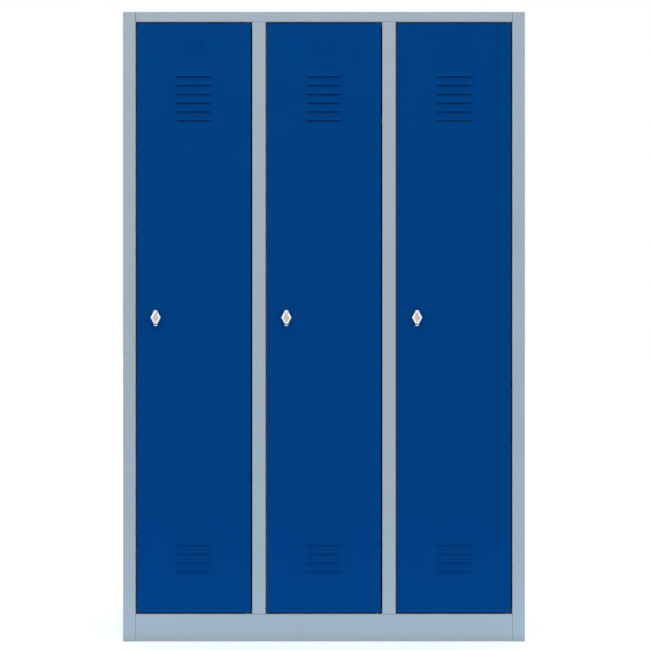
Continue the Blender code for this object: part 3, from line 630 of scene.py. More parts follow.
def folded_sheet(corners, start, end, along, spans=None):
    """Sheet of one folded section; spans gives the segments that start or end elsewhere."""
    spans = spans or {}
    levels = sorted({start, end}.union(*spans.values()))
    stations, owners = bent_route(corners)
    surface = Surface()

    def present(stretch, row):
        if not (0 <= stretch < len(owners) and 0 <= row < len(levels) - 1):
            return False
        parts = [spans.get(segment, (start, end)) for segment in owners[stretch]]
        return all(low <= levels[row] and levels[row + 1] <= high for low, high in parts)

    def place(station, row, depth):
        point, normal = stations[station]
        u, v = point - normal * depth
        return PLACE[along](u, v, levels[row])

    for stretch in range(len(owners)):
        for row in range(len(levels) - 1):
            if not present(stretch, row):
                continue
            ring = [(stretch, row), (stretch + 1, row), (stretch + 1, row + 1), (stretch, row + 1)]
            surface.face([place(*corner, 0.0) for corner in ring])
            surface.face([place(*corner, SHEET) for corner in reversed(ring)])
            neighbours = [(stretch, row - 1), (stretch + 1, row), (stretch, row + 1), (stretch - 1, row)]
            for side, neighbour in enumerate(neighbours):
                if not present(*neighbour):
                    edge = [ring[side], ring[(side + 1) % 4]]
                    outer, inner = [[place(*corner, depth) for corner in edge] for depth in (0.0, SHEET)]
                    surface.band(outer, inner, closed=False)
    return surface.mesh("folded_sheet")


def add(node, mesh, look, edge=CUT_EDGE):
    """Put a finished mesh in the scene for a CAD node, riding on the node's body."""
    mesh.materials.clear()
    mesh.materials.append(FINISHES[look])
    mesh.shade_smooth()
    mesh.set_sharp_from_angle(angle=SHARP_ANGLE)
    piece = placed(f"{node}_finished", mesh)
    if edge:
        bevel(piece, edge, CUT_EDGE_STEPS, SHARP_ANGLE)
    modify(piece, "WEIGHTED_NORMAL", weight=100, keep_sharp=True)
    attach(piece, BODY_OF[node])
    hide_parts(node)


# Carcass

CLEAR_OF_LIPS = (PLINTH + LIP + GAP, OPENING_TOP - LIP - GAP)


def side_panels():
    """Side panels, folded round at the front into the outer stiles."""
    return_span = (0.0, HEIGHT - LAYER)
    left = [
        (-X_SIDE + FLANGE, Y_BACK),
        (-X_SIDE, Y_BACK),
        (-X_SIDE, Y_FRONT),
        (-X_SIDE + STILE, Y_FRONT),
        (-X_SIDE + STILE, Y_POCKET),
        (-X_SIDE + STILE + STOP, Y_POCKET),
    ]
    right = [
        (X_SIDE - STILE + LIP, Y_POCKET),
        (X_SIDE - STILE, Y_POCKET),
        (X_SIDE - STILE, Y_FRONT),
        (X_SIDE, Y_FRONT),
        (X_SIDE, Y_BACK),
        (X_SIDE - FLANGE, Y_BACK),
    ]
    for name, outline, spans in (
        ("left_side_panel", left, {3: return_span, 4: CLEAR_OF_LIPS}),
        ("right_side_panel", right, {0: return_span, 1: return_span}),
    ):
        add(name, folded_sheet(outline, 0.0, HEIGHT, "Z", spans), "body")


def back_panel():
    low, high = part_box("back_panel")
    add("back_panel", folded_sheet([(high.x, high.y), (low.x, high.y)], low.z, high.z, "Z"), "body")


def top_panel():
    """Top sheet with a flange folded down at each side."""
    low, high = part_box("top_panel")
    outline = [(low.z, low.x), (high.z, low.x), (high.z, high.x), (low.z, high.x)]
    add("top_panel", folded_sheet(outline, low.y, high.y, "Y"), "body")


def tray_surface(low, high, depth, side_flap=None):
    """Panel whose four edges fold down; side_flap draws the flanges at its two ends."""
    surface = Surface()
    rings = []
    for inset, down in [*fold_rings(), (0.0, depth)]:
        ring = rounded_rectangle(low.xy, high.xy, BEND, inset)
        rings.append([(x, y, high.z - down) for x, y in ring])
    surface.fill(rings[0])
    surface.bands(rings[:-1])
    if side_flap:
        surface.band(rings[-2], rings[-1], leave_out=(SIDE_LOW_U, SIDE_HIGH_U))
        side_flap(surface, low.x)
        side_flap(surface, high.x)
    else:
        surface.band(rings[-2], rings[-1])
    return surface


def bottom_panel():
    low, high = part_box("bottom_panel")
    add("bottom_panel", thicken(tray_surface(low, high, FLANGE).mesh("bottom_panel")), "body", edge=0)


def hinge_holes(z):
    """Cutters for the pins of all the doors, through a flange at height z."""
    return [moved(rod(PIN_RADIUS + GAP, z - LIP, z + LIP, "Z"), pivot(side)) for side in COMPARTMENTS]


def front_rails():
    """Rail over the doors and plinth under them, each with the flange that holds the pins."""
    reach = X_SIDE - STILE
    top = [
        (Y_FRONT, HEIGHT),
        (Y_FRONT, OPENING_TOP),
        (Y_RAIL_STOP, OPENING_TOP),
        (Y_RAIL_STOP, OPENING_TOP - LIP),
    ]
    top_mesh = folded_sheet(top, -reach + RAIL_SEAM, reach - RAIL_SEAM, "X")
    add("top_front_rail", combine(top_mesh, hinge_holes(OPENING_TOP), "DIFFERENCE"), "body", edge=0)
    plinth = [
        (Y_RAIL_STOP, PLINTH + LIP),
        (Y_RAIL_STOP, PLINTH),
        (Y_FRONT, PLINTH),
        (Y_FRONT, 0.0),
        (Y_FRONT + FLANGE, 0.0),
    ]
    plinth_mesh = folded_sheet(plinth, -reach + GAP, reach - GAP, "X")
    add("plinth_front", combine(plinth_mesh, hinge_holes(PLINTH), "DIFFERENCE"), "body", edge=0)


def mullion(name):
    """Channel between two doors: hinge side on its left, stop flange on its right."""
    low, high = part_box(name)
    left, right = low.x, high.x - STOP
    outline = [
        (left + LIP, Y_POCKET),
        (left, Y_POCKET),
        (left, Y_FRONT),
        (right, Y_FRONT),
        (right, Y_POCKET),
        (right + STOP, Y_POCKET),
    ]
    spans = {0: CLEAR_OF_LIPS, 4: CLEAR_OF_LIPS}
    add(name, folded_sheet(outline, low.z, high.z, "Z", spans), "body")


def partition(name):
    """Wall between two compartments, with a weld flange inside the mullion and one at the back."""
    low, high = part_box(name)
    x = low.x + FLANGE
    outline = [(high.x, low.y), (x, low.y), (x, Y_BEHIND_STOP), (x, high.y), (low.x, high.y)]
    spans = {0: CLEAR_OF_LIPS, 1: CLEAR_OF_LIPS}
    add(name, folded_sheet(outline, low.z, high.z, "Z", spans), "body")


# Doors, drawn with x = 0 in the middle of the door


def hood(surface, slot):
    """Pressed louvre hood over its slot; gives the outline of the hole it leaves in the flat skin."""
    half = LOUVRE_WIDTH / 2
    lip = slot + LOUVRE_SLOT / 2
    foot = slot - LOUVRE_SLOT / 2
    shares = [step / LOUVRE_END_STEPS for step in range(LOUVRE_END_STEPS + 1)]
    columns = [(-half + LOUVRE_END * share, share) for share in shares]
    columns += [(half - LOUVRE_END * share, share) for share in reversed(shares)]

    def eased_rise(share):
        return math.sin(math.pi / 2 * share**LOUVRE_EASE)

    def point(column, row):
        x, share = column
        down = row / LOUVRE_ROWS
        rise = LOUVRE_RISE * eased_rise(share) * eased_rise(down)
        return (x, Y_FRONT - rise, lip + LOUVRE_HOOD * (1 - down))

    rows = [[point(column, row) for column in columns] for row in range(LOUVRE_ROWS + 1)]
    surface.bands(rows, closed=False)
    left = [row[0] for row in rows]
    right = [row[-1] for row in rows]
    return rows[0] + right[1:] + [(half, Y_FRONT, foot), (-half, Y_FRONT, foot)] + left[:0:-1]


def label_frame(surface):
    """Raised rim round the label, steep outside and gentle inside; gives its outer ring."""
    low = (-LABEL_WIDTH / 2, LABEL_CENTRE - LABEL_HEIGHT / 2)
    high = (LABEL_WIDTH / 2, LABEL_CENTRE + LABEL_HEIGHT / 2)
    shares = [step / LABEL_STEPS for step in range(LABEL_STEPS + 1)]
    blend = [(share, (1 - math.cos(math.pi * share)) / 2) for share in shares]
    crest_end = LABEL_OUTER_SLOPE + LABEL_CREST
    profile = [(LABEL_OUTER_SLOPE * across, LABEL_RISE * up) for across, up in blend]
    profile += [(crest_end + LABEL_INNER_SLOPE * across, LABEL_RISE * (1 - up)) for across, up in blend]
    rings = []
    for inset, rise in profile:
        ring = rounded_rectangle(low, high, LABEL_CORNER, inset)
        rings.append([(x, Y_FRONT - rise, z) for x, z in ring])
    surface.bands(rings)
    surface.fill(rings[-1])
    return rings[0]


def flat_skin(surface, low, high):
    """Flat front: a column of cells with one pressing each, and a margin on each side of it."""
    over_slot = (LOUVRE_HOOD + LOUVRE_PITCH) / 2
    label_reach = LABEL_HEIGHT / 2 + CELL_MARGIN
    cells = [(LABEL_CENTRE + label_reach, LABEL_CENTRE - label_reach, label_frame(surface))]
    for top_slot, count in ((UPPER_LOUVRE_TOP, UPPER_LOUVRES), (LOWER_LOUVRE_TOP, LOWER_LOUVRES)):
        for number in range(count):
            slot = top_slot - LOUVRE_PITCH * number
            cells.append((slot + over_slot, slot + over_slot - LOUVRE_PITCH, hood(surface, slot)))
    half = LOUVRE_WIDTH / 2 + CELL_MARGIN

    def flat(*corners):
        return [(x, Y_FRONT, z) for x, z in corners]

    levels = [cells[0][0]]
    for above, below, hole in cells:
        if levels[-1] - above > MERGE:
            surface.fill(flat((-half, above), (half, above), (half, levels[-1]), (-half, levels[-1])))
            levels.append(above)
        surface.fill(flat((-half, below), (half, below), (half, above), (-half, above)), hole)
        levels.append(below)
    surface.fill(flat((low[0], high[1]), (-half, levels[0]), (half, levels[0]), (high[0], high[1])))
    surface.fill(flat((low[0], low[1]), (-half, levels[-1]), (half, levels[-1]), (high[0], low[1])))
    latch = circle((LATCH_INSET + low[0] - BEND, LATCH_HEIGHT), SHANK_RADIUS + GAP)
    left_edge = [(-half, z) for z in levels]
    right_edge = [(half, z) for z in levels]
    surface.fill(flat((low[0], high[1]), *left_edge, (low[0], low[1])), flat(*latch))
    surface.fill(flat((high[0], high[1]), *right_edge, (high[0], low[1])))


def door_mesh():
    """Door skin with pressed louvres and label frame, and edges folded back and in."""
    surface = Surface()
    half = (DOOR_BOX[1].x - DOOR_BOX[0].x) / 2
    low, high = (-half, DOOR_BOX[0].z), (half, DOOR_BOX[1].z)
    y_back = Y_FRONT + DOOR_DEPTH
    profile = [(inset, Y_FRONT + back) for inset, back in fold_rings()]
    profile += [(inset, y_back - back) for inset, back in reversed(fold_rings())]
    profile.append((DOOR_LIP, y_back))
    rings = [[(x, y, z) for x, z in rounded_rectangle(low, high, BEND, inset)] for inset, y in profile]
    for index, (first, second) in enumerate(zip(rings, rings[1:])):
        is_return = index == BEND_STEPS
        surface.band(first, second, leave_out=(SIDE_HIGH_V, SIDE_LOW_V) if is_return else ())
    hinge = (half - HINGE_INSET, Y_FRONT + HINGE_BACK)
    front, back = rings[BEND_STEPS : BEND_STEPS + 2]
    for side in (SIDE_HIGH_V, SIDE_LOW_V):
        z = front[side][2]
        pin_hole = [(x, y, z) for x, y in circle(hinge, PIN_RADIUS + GAP)]
        surface.fill([front[side], front[side + 1], back[side + 1], back[side]], pin_hole)
    flat_skin(surface, (low[0] + BEND, low[1] + BEND), (high[0] - BEND, high[1] - BEND))
    return thicken(surface.mesh("door"))


def stiffener(side):
    """Hat-section strip welded to the back of the door skin."""
    low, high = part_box(f"{side}_door_stiffener")
    foot = (high.x - low.x - STIFFENER_CROWN) / 2
    outline = [
        (low.x, low.y),
        (low.x + foot, low.y),
        (low.x + foot, high.y - SHEET),
        (high.x - foot, high.y - SHEET),
        (high.x - foot, low.y),
        (high.x, low.y),
    ]
    return folded_sheet(outline, low.z, high.z, "Z")


# Latch, drawn around its own axis with y = 0 on the door's front face


def reach_of(outline, angle):
    """How far a counterclockwise outline is from the knob's centre in this direction."""
    toward = Vector((math.cos(angle), math.sin(angle)))
    for index, point in enumerate(outline):
        first, second = outline[index - 1] - KNOB_CENTRE, point - KNOB_CENTRE
        before = toward.x * first.y - toward.y * first.x
        after = toward.x * second.y - toward.y * second.x
        if before <= 0 < after:
            hit = first.lerp(second, before / (before - after))
            if hit.dot(toward) > 0:
                return hit.length
    raise ValueError("the outline doesn't go round the knob's centre")


def knob_mesh():
    """Die-cast grip with a sloping rim round a flat rhombic facet, and its neck, shaft and square end."""
    right = [
        (KNOB_FOOT_HALF_WIDTH, -KNOB_HALF_HEIGHT, KNOB_FOOT_CORNER),
        (KNOB_HALF_WIDTH, KNOB_WAIST, KNOB_WAIST_CORNER),
        (KNOB_SHOULDER_HALF_WIDTH, KNOB_SHOULDER, KNOB_SHOULDER_CORNER),
        (KNOB_CROWN_HALF_WIDTH, KNOB_HALF_HEIGHT, KNOB_CROWN_CORNER),
    ]
    outline = rounded_outline(right + [(-x, z, corner) for x, z, corner in reversed(right)])
    facet = rounded_outline(
        [
            (0.0, KNOB_CENTRE.y - FACET_HALF_HEIGHT, FACET_CORNER),
            (FACET_HALF_WIDTH, KNOB_CENTRE.y, FACET_CORNER),
            (0.0, KNOB_CENTRE.y + FACET_HALF_HEIGHT, FACET_CORNER),
            (-FACET_HALF_WIDTH, KNOB_CENTRE.y, FACET_CORNER),
        ]
    )
    edge = -KNOB_FRONT + KNOB_RIM
    profile = [(0.0, -KNOB_BACK)]
    for angle in quarter_turn(CAST_EDGE_STEPS):
        profile.append((KNOB_EDGE_SHARE * (1 - math.cos(angle)), edge + KNOB_EDGE * (1 - math.sin(angle))))
    profile += [(CREST_START, -KNOB_FRONT), (CREST_END, -KNOB_FRONT)]
    profile.append((FACET_START, -KNOB_FRONT + FACET_STEP))
    rings = [[] for level in profile]
    for ray in range(KNOB_RAYS):
        angle = math.tau * ray / KNOB_RAYS
        outer, inner = reach_of(outline, angle), reach_of(facet, angle)
        for ring, (share, y) in zip(rings, profile):
            length = outer + (inner - outer) * share
            x, z = KNOB_CENTRE + Vector((math.cos(angle), math.sin(angle))) * length
            ring.append((x, y, z))
    surface = Surface()
    surface.fill(rings[0])
    surface.fill(rings[-1])
    surface.bands(rings)
    grip = surface.mesh("grip")
    neck = rod(NECK_RADIUS, -KNOB_BACK - OVERLAP, -BASE_THICKNESS - 2 * GAP, "Y", LATHE_STEPS)
    shaft = rod(SHAFT_RADIUS, -BASE_THICKNESS - OVERLAP, SHAFT_END, "Y", LATHE_STEPS)
    square = plate(rectangle(SQUARE / 2, SQUARE / 2), SHAFT_END - OVERLAP, SQUARE_END, "Y")
    body = combine(grip, [neck, shaft, square], "UNION")
    screw_hole = rod(SCREW_RADIUS + GAP, SQUARE_END - SCREW_REACH, SQUARE_END + OVERLAP, "Y")
    return combine(body, [screw_hole], "DIFFERENCE")


def latch_housing_mesh():
    """Die-cast base and threaded shank with the fixed padlock lug under the knob."""
    bore = SHAFT_RADIUS + GAP
    flat = BASE_RADIUS - BASE_EDGE
    profile = [(bore, -BASE_THICKNESS)]
    for angle in quarter_turn(CAST_EDGE_STEPS):
        back = BASE_EDGE * (1 - math.cos(angle))
        profile.append((flat + BASE_EDGE * math.sin(angle), -BASE_THICKNESS + back))
    profile += [(BASE_RADIUS, -GAP), (SHANK_RADIUS, -GAP), (SHANK_RADIUS, LAYER)]
    turns = int((SHANK_REACH - LAYER) / THREAD_PITCH)
    for turn in range(turns):
        crest = LAYER + THREAD_PITCH * turn
        profile.append((SHANK_RADIUS - THREAD_DEPTH, crest + THREAD_PITCH * THREAD_ROOT))
        profile.append((SHANK_RADIUS, crest + THREAD_PITCH * THREAD_CREST))
        profile.append((SHANK_RADIUS, crest + THREAD_PITCH))
    profile += [(SHANK_RADIUS - THREAD_DEPTH, SHANK_REACH), (bore, SHANK_REACH), (bore, -BASE_THICKNESS)]
    body = lathe(profile, "Y")
    side_view = [
        (-GAP, LUG_TOP),
        (-LUG_DEPTH, LUG_TOP),
        (-LUG_DEPTH, LUG_NOSE_TOP),
        (-LUG_NOSE_DEPTH, LUG_NOSE_TOP - LUG_NOSE_FALL),
        (-LUG_NOSE_DEPTH + LUG_NOSE_LEAN, LUG_BOTTOM),
        (-GAP, LUG_BOTTOM),
    ]
    hole = circle((-PADLOCK_DEPTH, -PADLOCK_DROP), PADLOCK_RADIUS)
    lug = plate(side_view, -LUG_HALF_WIDTH, LUG_HALF_WIDTH, "X", [hole])
    front_view = rounded_outline(
        [
            (LUG_BOTTOM, -LUG_HALF_WIDTH, LUG_CORNER),
            (LUG_TOP + OVERLAP, -LUG_HALF_WIDTH, 0.0),
            (LUG_TOP + OVERLAP, LUG_HALF_WIDTH, 0.0),
            (LUG_BOTTOM, LUG_HALF_WIDTH, LUG_CORNER),
        ]
    )
    lug = combine(lug, [plate(front_view, -LUG_NOSE_DEPTH - OVERLAP, OVERLAP, "Y")], "INTERSECT")
    return combine(body, [eased(lug, LUG_EDGE)], "UNION")


def latch_nut_mesh():
    """Hexagon nut with chamfered corners."""
    inner = NUT_ACROSS_FLATS / 2
    corner = inner / math.cos(math.radians(30))
    hexagon = arc((0.0, 0.0), corner, 0, 300, 5)
    end = LAYER + NUT_THICKNESS
    nut = plate(hexagon, LAYER, end, "Y", [circle((0.0, 0.0), SHANK_RADIUS + GAP)])
    chamfers = [
        (0.0, LAYER - OVERLAP),
        (inner, LAYER - OVERLAP),
        (inner, LAYER),
        (corner, LAYER + NUT_CHAMFER),
        (corner, end - NUT_CHAMFER),
        (inner, end),
        (inner, end + OVERLAP),
        (0.0, end + OVERLAP),
    ]
    return combine(nut, [lathe(chamfers, "Y")], "INTERSECT")


def cam_mesh():
    """Tapered cam that hangs down when free and turns behind the stop flange."""
    tip = CAM_TIP_RADIUS - CAM_LENGTH
    lean = math.degrees(math.asin((CAM_HUB_RADIUS - CAM_TIP_RADIUS) / -tip))
    hub_arc = arc((0.0, 0.0), CAM_HUB_RADIUS, -90 - lean, 90 + lean, CAM_ARC_STEPS)
    tip_arc = arc((tip, 0.0), CAM_TIP_RADIUS, 90 + lean, 270 - lean, CAM_ARC_STEPS)
    hole = rectangle(SQUARE / 2 + GAP, SQUARE / 2 + GAP)
    return plate(hub_arc + tip_arc, CAM_FRONT, CAM_FRONT + CAM_THICKNESS, "Y", [hole])


def cam_screw_mesh():
    """Pan-head screw with a cross recess."""
    seat = CAM_FRONT + CAM_THICKNESS + GAP
    tip = SQUARE_END - SCREW_REACH + OVERLAP
    crown = seat + SCREW_HEAD
    profile = [(0.0, tip), (SCREW_RADIUS, tip), (SCREW_RADIUS, seat), (SCREW_HEAD_RADIUS, seat)]
    for angle in quarter_turn(DOME_STEPS):
        radius = SCREW_HEAD_RADIUS * (SCREW_CROWN_SHARE + (1 - SCREW_CROWN_SHARE) * math.cos(angle))
        height = SCREW_HEAD * (SCREW_WALL_SHARE + (1 - SCREW_WALL_SHARE) * math.sin(angle))
        profile.append((radius, seat + height))
    profile.append((0.0, crown))
    slots = []
    for length, width in ((SCREW_SLOT_LENGTH, SCREW_SLOT), (SCREW_SLOT, SCREW_SLOT_LENGTH)):
        outline = rectangle(length / 2, width / 2)
        slots.append(plate(outline, crown - SCREW_SLOT_DEPTH, crown + OVERLAP, "Y"))
    return combine(lathe(profile, "Y"), slots, "DIFFERENCE")


# Small turned parts


def lower_pin_mesh():
    """Moulded pin whose shoulder carries the door, z = 0 on the plinth's flange."""
    shoulder = DOOR_GAP - GAP
    profile = [
        (0.0, -LAYER - PIN_HEAD_HEIGHT),
        (PIN_HEAD - 2 * PIN_EDGE, -LAYER - PIN_HEAD_HEIGHT),
        (PIN_HEAD, -LAYER - PIN_HEAD_HEIGHT / 2),
        (PIN_HEAD, -LAYER),
        (PIN_RADIUS, -LAYER),
        (PIN_RADIUS, GAP),
        (PIN_HEAD - PIN_EDGE, GAP),
        (PIN_HEAD, GAP + PIN_EDGE),
        (PIN_HEAD, shoulder - PIN_EDGE),
        (PIN_HEAD - PIN_EDGE, shoulder),
        (PIN_RADIUS, shoulder),
        (PIN_RADIUS, PIN_REACH),
        (PIN_RADIUS - PIN_CHAMFER, PIN_REACH + PIN_CHAMFER),
        (0.0, PIN_REACH + PIN_CHAMFER),
    ]
    return lathe(profile, "Z")


def upper_pin_mesh():
    """Headed pin dropped through the rail's flange, z = 0 on the flange's lower face."""
    profile = [
        (0.0, -PIN_REACH - PIN_CHAMFER),
        (PIN_RADIUS - PIN_CHAMFER, -PIN_REACH - PIN_CHAMFER),
        (PIN_RADIUS, -PIN_REACH),
        (PIN_RADIUS, LAYER),
        (PIN_HEAD, LAYER),
        (PIN_HEAD, LAYER + PIN_HEAD_HEIGHT / 2),
        (PIN_HEAD - 2 * PIN_EDGE, LAYER + PIN_HEAD_HEIGHT),
        (0.0, LAYER + PIN_HEAD_HEIGHT),
    ]
    return lathe(profile, "Z")


def buffer_mesh():
    """Domed rubber buffer between the stop flange and the door, y = 0 at its tip."""
    length = POCKET - DOOR_DEPTH - 2 * GAP
    profile = [(0.0, 0.0)]
    for angle in quarter_turn(DOME_STEPS):
        radius = BUFFER_RADIUS - BUFFER_DOME * (1 - math.sin(angle))
        profile.append((radius, BUFFER_DOME * (1 - math.cos(angle))))
    profile += [(BUFFER_RADIUS, length), (0.0, length)]
    return lathe(profile, "Y")


# Fittings inside a compartment


def oval(extra):
    """Section of the coat rail as (y, z) points, larger all round by extra."""
    radius = RAIL_THICKNESS / 2 + extra
    rise = (RAIL_HEIGHT - RAIL_THICKNESS) / 2
    upper = arc((0.0, rise), radius, 0, 180, RAIL_ARC_STEPS)
    lower = arc((0.0, -rise), radius, 180, 360, RAIL_ARC_STEPS)
    return upper + lower


def hat_shelf(side):
    """Shelf with folded edges and two ears that hold the coat rail."""
    name = f"{side}_hat_shelf"
    low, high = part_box(name)
    rail = middle(f"{side}_coat_rail")
    flat_end = high.z - BEND
    rim_end = high.z - SHELF_RIM
    ear_front, ear_back = rail.y - EAR_WIDTH / 2, rail.y + EAR_WIDTH / 2

    flap = rounded_outline(
        [
            (low.y + BEND, flat_end, 0.0),
            (low.y + BEND, rim_end, 0.0),
            (ear_front, rim_end, 0.0),
            (ear_front, low.z, EAR_CORNER),
            (ear_back, low.z, EAR_CORNER),
            (ear_back, rim_end, 0.0),
            (high.y - BEND, rim_end, 0.0),
            (high.y - BEND, flat_end, 0.0),
        ]
    )

    def side_flap(surface, x):
        hole = [(x, rail.y + y, rail.z + z) for y, z in oval(GAP)]
        surface.fill([(x, y, z) for y, z in flap], hole)

    add(name, thicken(tray_surface(low, high, SHELF_RIM, side_flap).mesh(name)), "body", edge=0)


def coat_rail(side):
    """Oval steel tube."""
    name = f"{side}_coat_rail"
    low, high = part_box(name)
    tube = plate(oval(0.0), low.x, high.x, "X", [oval(-RAIL_WALL)])
    centre = middle(name)
    add(name, moved(tube, (0.0, centre.y, centre.z)), "steel")


def hook_wire():
    """Round hook that hangs under the band, swept along its route and rounded at its tip."""
    top = -RAIL_HEIGHT / 2 - GAP - HOOK_BAND / 2
    bend = (-HOOK_ARC, top - HOOK_STEM)
    tip = bend[1] + HOOK_TIP
    turn = arc(bend, HOOK_ARC, 0, -180, HOOK_ARC_STEPS)
    route = [Vector(point) for point in [(0.0, top), *turn, (-2 * HOOK_ARC, tip - HOOK_WIRE)]]
    radii = [HOOK_WIRE] * len(route)
    for angle in quarter_turn(DOME_STEPS)[1:]:
        route.append(Vector((-2 * HOOK_ARC, tip - HOOK_WIRE * (1 - math.sin(angle)))))
        radii.append(HOOK_WIRE * max(math.cos(angle), 0.0))
    surface = Surface()
    rings = []
    for index, (point, radius) in enumerate(zip(route, radii)):
        ahead = route[min(index + 1, len(route) - 1)] - route[max(index - 1, 0)]
        across = Vector((ahead.y, -ahead.x)).normalized()
        section = circle((0.0, 0.0), radius, HOOK_SIDES)
        rings.append([(x, *(point + across * side)) for x, side in section])
    surface.fill(rings[0])
    surface.bands(rings)
    return surface.mesh("wire")


def hook_mesh():
    """Coat hook whose band slides along the rail, drawn around the rail's axis."""
    low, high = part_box("left_hook_1")
    half = (high.x - low.x) / 2
    band = plate(oval(GAP + HOOK_BAND), -half, half, "X", [oval(GAP)])
    return combine(eased(band, HOOK_EDGE), [hook_wire()], "UNION")


# Assembly


def carcass():
    side_panels()
    back_panel()
    top_panel()
    bottom_panel()
    front_rails()
    for side in ("left", "right"):
        mullion(f"{side}_mullion")
        partition(f"{side}_partition")


def compartment(side, shared):
    """Door with its latch, hinge pins and buffers, and the fittings behind it."""
    add(f"{side}_door", copied(shared["door"], (middle(f"{side}_door").x, 0.0, 0.0)), "door", edge=0)
    add(f"{side}_door_stiffener", stiffener(side), "door")
    for place, height in (("lower", PLINTH), ("upper", OPENING_TOP)):
        pin = copied(shared[f"{place}_pin"], pivot(side) + Vector((0.0, 0.0, height)))
        add(f"{side}_{place}_hinge_pin", pin, "plastic", edge=0)
    latch = (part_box(f"{side}_door")[0].x + LATCH_INSET, Y_FRONT, LATCH_HEIGHT)
    for part, look, edge in (
        ("latch_housing", "zinc", 0),
        ("latch_nut", "steel", 0),
        ("latch_knob", "zinc", 0),
        ("latch_cam", "steel", CUT_EDGE),
        ("cam_screw", "steel", 0),
    ):
        add(f"{side}_{part}", copied(shared[part], latch), look, edge)
    for place in ("lower", "upper"):
        spot = middle(f"{side}_{place}_buffer")
        spot.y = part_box(f"{side}_{place}_buffer")[0].y
        add(f"{side}_{place}_buffer", copied(shared["buffer"], spot), "rubber", edge=0)
    hat_shelf(side)
    coat_rail(side)
    rail = middle(f"{side}_coat_rail")
    for number in (1, 2, 3):
        hook = f"{side}_hook_{number}"
        add(hook, copied(shared["hook"], (middle(hook).x, rail.y, rail.z)), "plastic", edge=0)


# Studio

# Colour of the light that comes from this many degrees off the cabinet's front, and from overhead
DOME = (
    (0, (0.74, 0.63, 0.54)),
    (14, (0.74, 0.63, 0.54)),
    (22, (0.22, 0.22, 0.23)),
    (38, (0.24, 0.25, 0.27)),
    (52, (1.3, 1.48, 1.68)),
    (78, (1.3, 1.48, 1.68)),
    (89, (0.90, 0.94, 1.0)),
)
OVERHEAD = (1.42, 1.42, 1.5)
OVERHEAD_FROM = 22  # degrees above the horizon
OVERHEAD_FULL = 36
FLOOR_HALF = 30.0
FLOOR_DROP = 0.0005  # floor to the cabinet's underside
GLOW_OUT = 0.17  # light strip on the floor in front of the doors
CAMERA_ASIDE = 0.003
CAMERA_OUT = 3.5  # camera to the doors' front
CAMERA_HEIGHT = 0.9047
LENS = 67.8
SENSOR_WIDTH = 36.0


def world():
    """White backdrop whose light comes mostly from above and from the sides."""
    studio = bpy.data.worlds.new("studio")
    bpy.context.scene.world = studio
    studio.use_nodes = True
    nodes, links = studio.node_tree.nodes, studio.node_tree.links
    direction = nodes.new("ShaderNodeTexCoord").outputs["Generated"]

    def part_toward(axis):
        part = nodes.new("ShaderNodeVectorMath")
        part.operation = "DOT_PRODUCT"
        part.inputs[1].default_value = axis
        links.new(direction, part.inputs[0])
        return part.outputs["Value"]

    def covered(light, share, colour):
        mix = nodes.new("ShaderNodeMixRGB")
        links.new(share, mix.inputs["Fac"])
        links.new(light, mix.inputs["Color1"])
        set_inputs(mix, {"Color2": (*colour, 1.0)})
        return mix.outputs["Color"]

    sides = nodes.new("ShaderNodeValToRGB")
    stops = sides.color_ramp.elements
    stops.remove(stops[0])
    stops[0].color = (*DOME[0][1], 1.0)
    for angle, colour in DOME[1:]:
        stops.new(math.cos(math.radians(angle))).color = (*colour, 1.0)
    links.new(part_toward((0.0, -1.0, 0.0)), sides.inputs["Fac"])
    height = nodes.new("ShaderNodeMapRange")
    height.interpolation_type = "SMOOTHSTEP"
    start, full = [math.sin(math.radians(angle)) for angle in (OVERHEAD_FROM, OVERHEAD_FULL)]
    set_inputs(height, {"From Min": start, "From Max": full})
    links.new(part_toward((0.0, 0.0, 1.0)), height.inputs["Value"])
    dome = covered(sides.outputs["Color"], height.outputs["Result"], OVERHEAD)
    seen = nodes.new("ShaderNodeLightPath").outputs["Is Camera Ray"]
    links.new(covered(dome, seen, (1.0, 1.0, 1.0)), nodes["Background"].inputs["Color"])


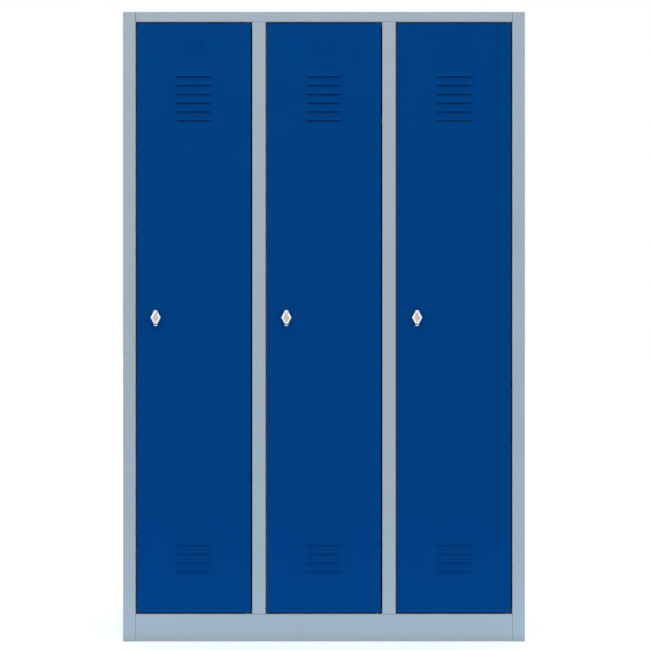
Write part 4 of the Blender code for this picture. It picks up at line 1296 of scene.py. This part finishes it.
def area_light(name, power, colour, size):
    lamp = bpy.data.lights.new(name, "AREA")
    lamp.energy = power
    lamp.color = colour
    lamp.shape = "RECTANGLE"
    lamp.size, lamp.size_y = size
    holder = placed(name, lamp)
    return holder


def aim(light, place, target):
    light.location = place
    light.rotation_euler = (Vector(target) - Vector(place)).to_track_quat("-Z", "Y").to_euler()


def lights():
    """Warm key light over the doors, cool glow on the plinth from the floor, and a fill behind."""
    glow_y = Y_FRONT - GLOW_OUT
    key = area_light("key", power=9.0, colour=(1.0, 0.85, 0.74), size=(2.6, 0.5))
    aim(key, (-0.35, -1.75, 2.75), (0.0, Y_FRONT, 1.2))
    glow = area_light("plinth_glow", power=1.2, colour=(0.45, 0.76, 1.0), size=(2.0, 0.3))
    aim(glow, (0.0, glow_y, 0.002), (0.0, glow_y, 1.0))
    back = area_light("back", power=30.0, colour=(1.0, 1.0, 1.0), size=(2.4, 2.4))
    aim(back, (1.5, 3.2, 3.0), (0.0, 0.0, 0.9))


def floor():
    surface = Surface()
    surface.face([(x, y, 0.0) for x, y in rectangle(FLOOR_HALF, FLOOR_HALF)])
    mesh = surface.mesh("floor")
    mesh.materials.append(floor_finish())
    holder = placed("floor", mesh)
    holder.location.z = -FLOOR_DROP


def camera():
    """Level view straight at the front."""
    lens = bpy.data.cameras.new("camera")
    lens.sensor_width = SENSOR_WIDTH
    lens.lens = LENS
    holder = placed("camera", lens)
    holder.location = (CAMERA_ASIDE, Y_FRONT - CAMERA_OUT, CAMERA_HEIGHT)
    holder.rotation_euler = (math.radians(90), 0.0, 0.0)
    bpy.context.scene.camera = holder


carcass()
shared_meshes = {
    "door": door_mesh(),
    "lower_pin": lower_pin_mesh(),
    "upper_pin": upper_pin_mesh(),
    "latch_housing": latch_housing_mesh(),
    "latch_nut": latch_nut_mesh(),
    "latch_knob": knob_mesh(),
    "latch_cam": cam_mesh(),
    "cam_screw": cam_screw_mesh(),
    "buffer": buffer_mesh(),
    "hook": hook_mesh(),
}
for compartment_side in COMPARTMENTS:
    compartment(compartment_side, shared_meshes)

floor()
world()
lights()
camera()
bpy.context.scene.view_settings.view_transform = "Standard"
